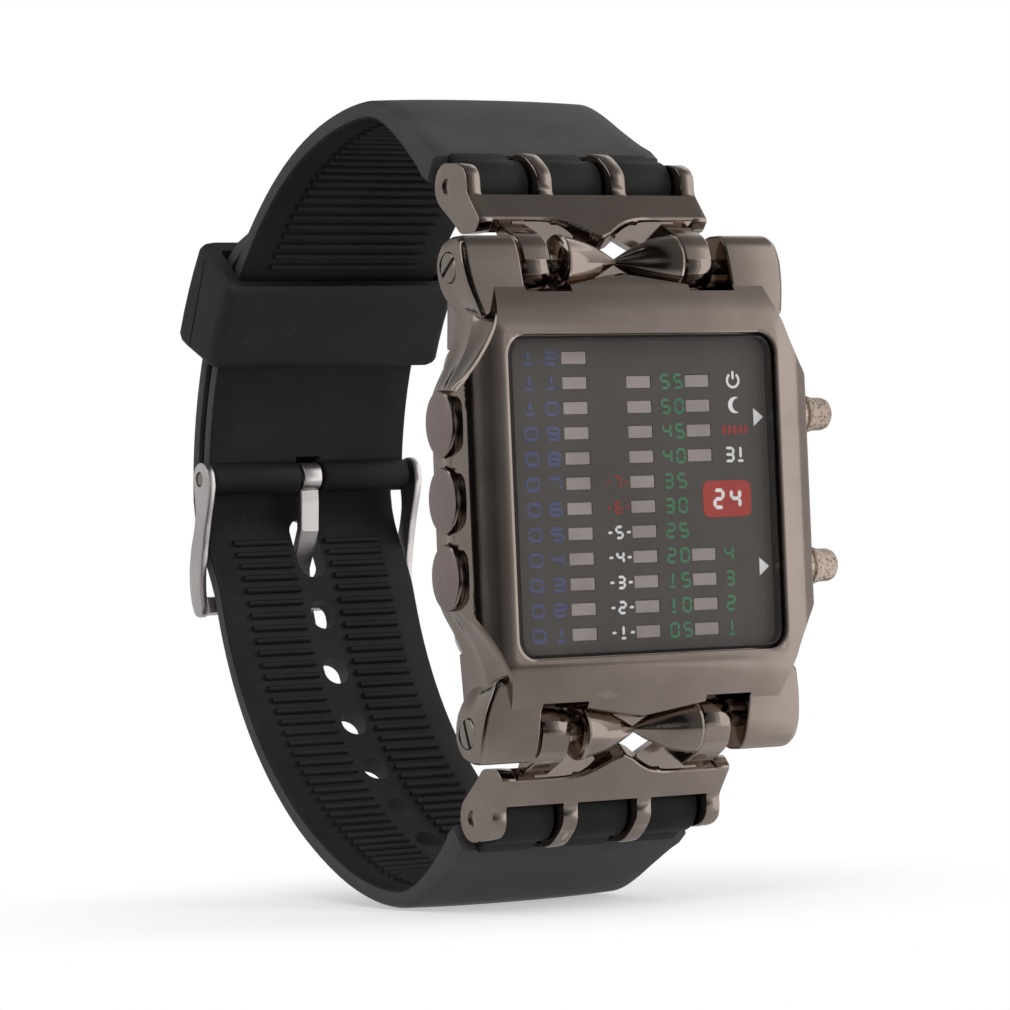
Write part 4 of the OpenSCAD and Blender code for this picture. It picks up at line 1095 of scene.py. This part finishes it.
knuckle_spans = [(-11.15, -5.15), (-3.15, 3.15), (5.15, 11.15)]
bar_y, bar_z = on_loop(38.2, 5.9)
eye_spans, eye_r, bore_r = [(-11.7, -1.5), (1.5, 11.7)], 1.7, 0.8
short_parts = [bored_block(*span, pin_y, pin_z, bore_r, knuckle_outline(1)) for span in knuckle_spans]
short_parts += [bored_block(*span, bar_y, bar_z, bore_r, lambda angle: eye_r) for span in eye_spans]
long_parts = [bored_block(*span, pin_y, -pin_z, bore_r, knuckle_outline(-1)) for span in knuckle_spans]
print("knuckles and eyes:", len(short_parts), len(long_parts))


# %% Straps
def slot_part(a, length, width=2.8):
    """A long round-ended hole through the strap at an angle of the loop, for cutting."""
    radial = on_loop(1, a) - on_loop(0, a)
    tangent = np.array([-radial[1], radial[0]])
    steps = 24
    outline = []
    for i in range(steps):
        b = 2*math.pi*(i + 0.5)/steps
        middle = math.copysign((length - width)/2, math.sin(b))
        outline.append((width/2*math.cos(b), width/2*math.sin(b) + middle))
    return skin([[(x, *(on_loop(r, a) + tangent*t)) for x, t in outline] for r in (34, 44)])


def strap(name, course, outward, parts, holes, node, round_tip):
    """A strap with its knuckles. Faces that look into the loop and the knuckles get a darker copy of the
    rubber, painted shade.
    """
    body_skin = skin(strap_rings(course, outward, round_tip))
    piece = add_piece(name, *body_skin, rubber, node, "rubber", sharp=50, weighted=False)
    cut_away(piece, holes)
    work = bmesh.new()
    work.from_mesh(piece.data)
    points, faces = join_parts(parts)
    fill(work, points, faces)
    bmesh.ops.recalc_face_normals(work, faces=work.faces)
    work.to_mesh(piece.data)
    work.free()
    # Faces that look into the loop, and the knuckles, take the darker rubber: painted shade.
    piece.data.materials.append(painted_shade_rubber)
    knuckles_from = len(piece.data.polygons) - len(faces)
    for polygon in piece.data.polygons:
        centre_y, centre_z = polygon.center.y/MM - loop_y, polygon.center.z/MM - loop_z
        outwards = polygon.normal.y*centre_y + polygon.normal.z*centre_z
        inwards = -outwards/math.hypot(centre_y, centre_z)
        polygon.material_index = int(polygon.index >= knuckles_from or inwards > 0.35)
    smooth(piece, 50, weighted=False)
    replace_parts(piece, node)
    return piece


held_hole, hole_pitch, degrees_per_mm = -5.5, 6.6, math.degrees(1/loop_r)
holes = [slot_part(held_hole, 6.6, 3.2)]
holes += [slot_part(held_hole - (i*hole_pitch + 1)*degrees_per_mm, 3.2) for i in range(1, 7)]
tongue_room = [rod_part((-1.5, 1.5), 2.2, bar_y, bar_z)]
short_strap = strap("short_strap", short_course, 1, short_parts, tongue_room, "upper_strap", False)
long_strap = strap("long_strap", long_course, -1, long_parts, holes, "lower_strap", True)
print("strap faces:", len(short_strap.data.polygons), len(long_strap.data.polygons))

# %% [markdown]
# The inside of the strap has cross ribs that let air under it. They repeat along a curve, so a Geometry
# Nodes tree sets them: a line of points is made a curve, cut into steps of one pitch, and a round bar is
# set across each step, nearly as long as the strap is wide there. Each bar is two halves with a gap
# between them, which on the long strap leaves the middle free for the holes.

# %% A tree for the ribs
def rib_tree():
    """The tree, and the identifiers of its inputs by name."""
    tree = bpy.data.node_groups.new("strap ribs", "GeometryNodeTree")

    def socket(name, kind, way="INPUT"):
        made = tree.interface.new_socket(name, in_out=way, socket_type="NodeSocket" + kind)
        return made.identifier

    socket("Geometry", "Geometry")
    sizes = {name: socket(name, "Float") for name in ("Pitch", "Rib width", "Rib height", "Gap")}
    sizes["Finish"] = socket("Finish", "Material")
    socket("Geometry", "Geometry", "OUTPUT")

    def node(kind, settings=None, **links):
        made = tree.nodes.new(kind)
        for key, value in (settings or {}).items():
            setattr(made, key, value)
        for key, value in links.items():
            socket = made.inputs[key.replace("_", " ")]
            if isinstance(value, bpy.types.NodeSocket):
                tree.links.new(value, socket)
            else:
                socket.default_value = value
        return made

    given = node("NodeGroupInput").outputs
    path = node("GeometryNodeMeshToCurve", Mesh=given["Geometry"]).outputs[0]
    steps = node("GeometryNodeResampleCurve", {"mode": "LENGTH"}, Curve=path, Length=given["Pitch"])
    section = node("GeometryNodeCurvePrimitiveCircle", Resolution=10, Radius=0.5).outputs[0]
    bar = node("GeometryNodeJoinGeometry").outputs[0]
    for side in (-1, 1):
        inner = node("ShaderNodeMath", {"operation": "MULTIPLY"}).outputs[0]
        tree.links.new(given["Gap"], inner.node.inputs[0])
        inner.node.inputs[1].default_value = side
        start = node("ShaderNodeCombineXYZ", X=inner).outputs[0]
        line = node("GeometryNodeCurvePrimitiveLine", Start=start, End=(side, 0, 0)).outputs[0]
        half_bar = node("GeometryNodeCurveToMesh", Curve=line, Profile_Curve=section, Fill_Caps=True)
        tree.links.new(half_bar.outputs[0], bar.node.inputs[0])
    size = node("ShaderNodeCombineXYZ", X=1.0, Y=given["Rib width"], Z=given["Rib height"]).outputs[0]
    rib = node("GeometryNodeTransform", Geometry=bar, Scale=size).outputs[0]
    tangent = node("GeometryNodeInputTangent").outputs[0]
    turned = node("FunctionNodeAlignRotationToVector", {"axis": "Y", "pivot_axis": "X"}, Vector=tangent)
    width = node("GeometryNodeInputNamedAttribute", {"data_type": "FLOAT"}, Name="half_width").outputs[0]
    stretch = node("ShaderNodeCombineXYZ", X=width, Y=1.0, Z=1.0).outputs[0]
    ribs = node("GeometryNodeInstanceOnPoints", Points=steps.outputs[0], Instance=rib,
        Rotation=turned.outputs[0], Scale=stretch).outputs[0]
    real = node("GeometryNodeRealizeInstances", Geometry=ribs).outputs[0]
    coated = node("GeometryNodeSetMaterial", Geometry=real, Material=given["Finish"]).outputs[0]
    tree.links.new(coated, node("NodeGroupOutput").inputs[0])
    return tree, sizes


# %% Ribs inside the straps
ribs_group, rib_inputs = rib_tree()
rib_short_by = 3.0
# The ribs take the darker rubber: painted shade inside the loop.
rib_sizes = {"Pitch": 1.4*MM, "Rib width": 0.75*MM, "Rib height": 1.15*MM, "Finish": painted_shade_rubber}


def ribs_along(name, path, body, gap=0.0):
    """Bakes a row of ribs along points of y and z on the strap; gap is the share left free."""
    mesh = bpy.data.meshes.new(name)
    steps = [(i, i + 1) for i in range(len(path) - 1)]
    mesh.from_pydata([Vector((0, y, z))*MM for y, z in path], steps, [])
    widths = mesh.attributes.new("half_width", "FLOAT", "POINT")
    widths.data.foreach_set("value", [(half_width(y) - rib_short_by)*MM for y, z in path])
    row = bpy.data.objects.new(name + "_path", mesh)
    scene.collection.objects.link(row)
    modifier = row.modifiers.new("ribs", "NODES")
    modifier.node_group = ribs_group
    for key, value in {**rib_sizes, "Gap": gap}.items():
        modifier[rib_inputs[key]] = value
    bpy.context.view_layer.update()
    depsgraph = bpy.context.evaluated_depsgraph_get()
    baked = bpy.data.meshes.new_from_object(row.evaluated_get(depsgraph))
    bpy.data.objects.remove(row)
    piece = bpy.data.objects.new(name, baked)
    scene.collection.objects.link(piece)
    smooth(piece, 50, weighted=False)
    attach(piece, body)
    return piece


def inner_face(course, outward, sunk=0.12):
    """Points of the inner face along a course, a little inside the rubber."""
    return [tuple(point - normal_at(course, i, outward)*(thick/2 - sunk))
        for i, (point, thick) in enumerate(course)]


short_face, long_face = inner_face(short_course, 1), inner_face(long_course, -1)
short_ribs = ribs_along("short_strap_ribs", short_face[4:36], "upper_strap")
long_ribs = ribs_along("long_strap_ribs", long_face[4:51], "lower_strap", 0.26)
print("rib faces:", len(short_ribs.data.polygons), len(long_ribs.data.polygons))

# %% [markdown]
# The keeper is a moulded rubber band round both layers, with round corners, soft lips and a thin groove
# down each side. It is a closed skin over sections that follow the loop.

# %% Keeper
keeper_a0, keeper_a1 = 25.0, 40.26
outer_x, outer_r0, outer_r1 = 13.75, 36.25, 45.0
inner_x, inner_r0, inner_r1 = 12.05, 37.45, 43.0
lips = ((0, 0.55), (0.03, 0.2), (0.08, 0), (0.3, 0), (0.5, 0), (0.7, 0), (0.92, 0), (0.97, 0.2), (1, 0.55))


def band_section(half_x, r0, r1, corner, share):
    """A section of the keeper at a share of the way along it."""
    plan = rounded_outline([(-half_x, r0), (half_x, r0), (half_x, r1), (-half_x, r1)], corner, 6)
    return [(x, *on_loop(r, keeper_a0 + (keeper_a1 - keeper_a0)*share)) for x, r in plan]


keeper_rings = [band_section(outer_x - push, outer_r0 + push*0.6, outer_r1 - push, 1.3, share)
    for share, push in lips]
keeper_rings += [band_section(inner_x, inner_r0, inner_r1, 0.5, share) for share in (1, 0.5, 0)]
keeper = add_piece("rubber_keeper", *skin(keeper_rings, closed=True), keeper_rubber, "keeper", "rubber",
    sharp=60, weighted=False)
groove_from, groove_to, groove_half = np.array([50.6, 27.2]), np.array([55.1, 18.3]), 0.11
groove_along = (groove_to - groove_from)/np.linalg.norm(groove_to - groove_from)
groove_across = np.array([-groove_along[1], groove_along[0]])*groove_half
groove_corners = [groove_from - groove_across, groove_to - groove_across]
groove_corners += [groove_to + groove_across, groove_from + groove_across]
cut_away(keeper, [skin([[(x, *c) for c in groove_corners] for x in sorted((side*13.5, side*14.2))])
    for side in (-1, 1)])
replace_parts(keeper, "keeper")
print("keeper faces:", len(keeper.data.polygons))

# %% [markdown]
# The buckle is a bent satin steel frame on a spring bar. Its two arms are one side view, stretched over
# their thickness on the left and on the right, and a bar with soft edges joins them at the front.

# %% Buckle
arm_front = [(56.95, 3.3), (56.75, 1.0), (57.3, -0.9), (58.2, -2.8), (58.8, -5.0), (58.9, -7.0),
    (58.6, -8.8), (57.8, -10.2)]
arm_back = [(56.5, -10.3), (56.2, -9.2), (56.5, -7.4), (56.3, -5.5), (55.6, -2.8), (54.7, -0.1),
    (53.8, 2.1), (53.35, 3.6)]
round_end = arc(bar_y - 0.25, bar_z, 1.8, 176, -8, 16)
arm_plan = rounded_outline(round_end + arm_front + arm_back, 0.7, 4)
arms = join_parts(both_sides(arm_plan, 12.05, 12.95, 0.2))
buckle = add_piece("buckle", *arms, satin_steel, "buckle_frame", "steel")
cut_away(buckle, [rod_part((-13.5, 13.5), bore_r, bar_y, bar_z)])
cross_r, cross_a = 40.4, -13.6
cross = on_loop(cross_r, cross_a)
along = on_loop(1, cross_a) - on_loop(0, cross_a)
across = np.array([-along[1], along[0]])
cross_corners = [tuple(cross + along*0.65*a + across*0.95*b) for a, b in corner_signs]
crossbar = soft_plate(rounded_outline(cross_corners, 0.45, 4), -12.2, 12.2)
add_piece("buckle_crossbar", *crossbar, satin_steel, "buckle_frame", "steel")
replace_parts(buckle, "buckle_frame")
print("buckle faces:", len(buckle.data.polygons))

# %% [markdown]
# The pieces inside the case and the pins keep the solids' own shapes. Little of them shows until the watch
# is opened or seen from behind, so each just gets the finish of its real material.

# %% Finishes of the solids that stay
kept = {
    "crystal_gasket": seal_rubber, "dial_plate": smoked_plate, "led_bars": bar_plastic,
    "circuit_board": board_green, "board_components": chip_black, "module_holder": holder_white,
    "battery": cell_nickel, "battery_contact": spring_brass, "battery_clamp": satin_steel,
    "case_back": satin_steel, "case_back_gasket": seal_rubber, "back_screws": screw_steel,
    "pusher_seals": seal_rubber, "upper_pusher_clip": satin_steel, "lower_pusher_clip": satin_steel,
    "upper_strap_pin": screw_steel, "lower_strap_pin": screw_steel, "buckle_spring_bar": screw_steel}
for name, finish in kept.items():
    for slot in nodes[name].material_slots:
        slot.material = finish
print("solids with new finishes:", len(kept))

# %% [markdown]
# The studio is a pale floor under a white sky, with two large soft lamps and a smaller one low in front,
# which keeps the underside of the strap from going black. The sky and the far floor are pure white to the
# camera and in reflections, and darker as a light on the watch. Near the watch the floor keeps its shade.

# %% Rays that see the studio
def seen_by(tree):
    """1 for rays from the camera, a mirror or a pane, and 0 for all others."""
    path = tree.nodes.new("ShaderNodeLightPath")
    camera_ray, glossy, transmission = [Wire(tree, path.outputs[f"Is {kind} Ray"])
        for kind in ("Camera", "Glossy", "Transmission")]
    return (camera_ray + glossy + transmission).math("MINIMUM", 1.0)


def length_of(finish, vector):
    return finish.node("ShaderNodeVectorMath", {"operation": "LENGTH"}, {0: vector}, out="Value")


# %% Floor
floor_z = cad_box[0][2]
reach = 6.0
floor_mesh = bpy.data.meshes.new("floor")
floor_mesh.from_pydata([(a*reach, b*reach, floor_z) for a, b in corner_signs], [], [(0, 1, 2, 3)])
floor = bpy.data.objects.new("floor", floor_mesh)
scene.collection.objects.link(floor)
floor_finish = Finish("pale_floor", base_color=(0.93, 0.93, 0.93), roughness=0.9)
moved = {"Vector": floor_finish.place, "Location": (0, -0.024, 0)}
from_loop = floor_finish.node("ShaderNodeMapping", sockets=moved, out="Vector")
white = floor_finish.node("ShaderNodeEmission", sockets={"Color": (1, 1, 1, 1), "Strength": 1.0})
white_near = 0.35
white_share = white_near + (1 - white_near)*length_of(floor_finish, from_loop).between(0.03, 0.075)
share = seen_by(floor_finish.tree)*white_share
mixed = floor_finish.node("ShaderNodeMixShader", sockets={0: share})
floor_finish.tree.links.new(floor_finish.shader.outputs[0], mixed.out.node.inputs[1])
floor_finish.tree.links.new(white.out, mixed.out.node.inputs[2])
floor_finish.tree.links.new(mixed.out, floor_finish.tree.nodes["Material Output"].inputs["Surface"])
floor_mesh.materials.append(floor_finish.material)
floor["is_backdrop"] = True

# %% Sky
sky = bpy.data.worlds.new("sky")
sky.use_nodes = True
scene.world = sky
sky_light = 0.62
background = sky.node_tree.nodes["Background"]
background.inputs["Color"].default_value = (1, 1, 1, 1)
strength = seen_by(sky.node_tree)*(1 - sky_light) + sky_light
connect(sky.node_tree, background.inputs["Strength"], strength)


# %% Lamps
def lamp(name, place, size, power):
    """A soft square lamp that looks at the watch."""
    data = bpy.data.lights.new(name, "AREA")
    data.size = size
    data.energy = power
    made = bpy.data.objects.new(name, data)
    scene.collection.objects.link(made)
    made.location = place
    made.rotation_euler = (Vector((0, 0.01, 0)) - Vector(place)).to_track_quat("-Z", "Y").to_euler()


lamp("key", (-0.9, -1.1, 1.5), 0.9, 12)
lamp("fill", (1.5, -0.7, 0.9), 0.8, 6)
lamp("low_front", (-0.25, -1.4, 0.02), 0.6, 8)

# %% [markdown]
# Polished metal shows only what stands around it. Painted cards stand all round where the front, the
# flanks and the links look, and two lie on the floor; the front ones are graded from black on the left to
# white on the right. They show in reflections alone, so they cast neither light nor shadow on the rest.

# %% Paint for the cards
def parts_of(finish, vector):
    """The three numbers of a vector."""
    node = finish.tree.nodes.new("ShaderNodeSeparateXYZ")
    connect(finish.tree, node.inputs[0], vector)
    return [Wire(finish.tree, out) for out in node.outputs]


def graded(finish, value, *stops):
    """A number that follows a value through stops, given as pairs of value and result."""
    low, high = stops[0][0], stops[-1][0]
    ramp = finish.tree.nodes.new("ShaderNodeValToRGB")
    connect(finish.tree, ramp.inputs[0], (value - low)*(1/(high - low)))
    elements = ramp.color_ramp.elements
    shares = [(at - low)/(high - low) for at, _ in stops]
    for share in shares[1:-1]:
        elements.new(share)
    for mark, (_, grey) in zip(elements, stops):
        mark.color = (grey, grey, grey, 1)
    return finish.node("ShaderNodeSeparateColor", sockets={"Color": Wire(finish.tree, ramp.outputs[0])})


def glowing(finish, strength):
    """Makes a finish glow white with a textured strength."""
    channels = {name: strength for name in ("Red", "Green", "Blue")}
    colour = finish.node("ShaderNodeCombineColor", sockets=channels)
    finish.set("Emission Color", colour)
    finish.set("Emission Strength", 1.0)


def card_finish(name):
    """A dull black finish, and the three numbers of the direction in which a place lies."""
    finish = Finish(name, base_color=(0, 0, 0), roughness=1.0, specular_ior_level=0.0)
    settings, sockets = {"operation": "NORMALIZE"}, {0: finish.place}
    direction = finish.node("ShaderNodeVectorMath", settings, sockets, out="Vector")
    return finish, parts_of(finish, direction)


def front_glow(finish, x, z):
    """Brightness by direction: black on the left, white on the right, dimmer above and below."""
    by_side = graded(finish, x, (-1, 0.01), (0.10, 0.012), (0.17, 0.09), (0.26, 0.13), (0.34, 0.16),
        (0.40, 0.22), (0.46, 0.38), (0.485, 0.60), (0.50, 0.53), (0.51, 0.43), (0.525, 0.38),
        (0.542, 0.43), (0.56, 0.80), (0.575, 1.0), (1, 1.0))
    left_limit = graded(finish, z, (-1, 0.34), (-0.85, 0.38), (-0.6, 0.30), (-0.45, 0.28), (-0.25, 0.45),
        (-0.1, 1.0), (0.1, 1.0), (0.22, 0.58), (0.45, 0.38), (0.75, 0.28), (0.85, 0.16), (1, 0.10))
    right_limit = graded(finish, z, (-1, 0.45), (-0.7, 1.0), (0.62, 1.0), (0.8, 0.25), (1, 0.12))
    limit = left_limit + (right_limit - left_limit)*x.between(0.50, 0.57)
    return by_side.math("MINIMUM", limit)


front_paint, (x, y, z) = card_finish("front_paint")
glowing(front_paint, front_glow(front_paint, x, z))
back_paint, (x, y, z) = card_finish("back_paint")
glowing(back_paint, graded(back_paint, z, (-1, 0.36), (0, 0.40), (0.3, 0.40), (0.55, 0.14), (1, 0.05)))
floor_paint, (x, y, z) = card_finish("floor_paint")
place_x = parts_of(floor_paint, floor_paint.place)[0]*(1/MM)
near = graded(floor_paint, place_x, (-60, 0.16), (-20, 0.46), (4, 0.37), (15, 0.44), (27, 0.58),
    (36, 0.95), (80, 1.0))
away = length_of(floor_paint, floor_paint.place)
far = front_glow(floor_paint, x, z)
glowing(floor_paint, near + (far - near)*away.between(0.04, 0.12))
side_paint, (x, y, z) = card_finish("side_paint")
glowing(side_paint, graded(side_paint, z, (-1, 0.30), (0, 0.45), (0.3, 0.55), (1, 1.0)))


# %% Cards
def card(name, paint, places):
    """A card through a grid of places, seen only in reflections."""
    count = len(places[0])
    points = [Vector(p) for row in places for p in row]
    faces = [(i*count + j, i*count + j + 1, (i + 1)*count + j + 1, (i + 1)*count + j)
        for i in range(len(places) - 1) for j in range(count - 1)]
    mesh = bpy.data.meshes.new(name)
    mesh.from_pydata(points, [], faces)
    mesh.materials.append(paint.material)
    made = bpy.data.objects.new(name, mesh)
    scene.collection.objects.link(made)
    made.visible_camera = made.visible_diffuse = False
    made.visible_shadow = made.visible_transmission = False
    made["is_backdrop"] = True


card_r, card_steps = 1.2, 24


def around(turn_from, turn_to, rise_from, rise_to):
    """Places on a ball round the watch; turn 0 looks out from the face, and turns grow to the right."""
    turns = np.radians(np.linspace(turn_from, turn_to, card_steps))
    rises = np.radians(np.linspace(rise_from, rise_to, card_steps))
    return [[(card_r*math.cos(r)*math.sin(t), -card_r*math.cos(r)*math.cos(t), card_r*math.sin(r))
        for t in turns] for r in rises]


def on_floor(turn_from, turn_to, lift):
    """Places on the floor between two turns, from the middle out, lifted a little."""
    turns = np.radians(np.linspace(turn_from, turn_to, card_steps))
    return [[(r*math.sin(t), -r*math.cos(t), floor_z + lift) for t in turns] for r in (0.001, 1.19)]


card("front_card", front_paint, around(-106, 62, -1.9, 88))
card("top_card", front_paint, around(62, 150, 34, 88))
card("flank_card", back_paint, around(226, 254, -1.9, 8))
card("back_card", back_paint, around(150, 226, -1.9, 88))
card("side_card", side_paint, around(62, 150, -1.9, 34))
card("front_floor_card", floor_paint, on_floor(-95, 95, 0.001))
card("back_floor_card", back_paint, on_floor(95, 265, 0.0005))
print("studio made")

# %% Print the sizes of the solids and of the dressed watch
visual_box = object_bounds()
for name, box in (("solids", cad_box), ("looks", visual_box)):
    print(name, "from and to (mm):", [[round(c/MM, 2) for c in corner] for corner in box])
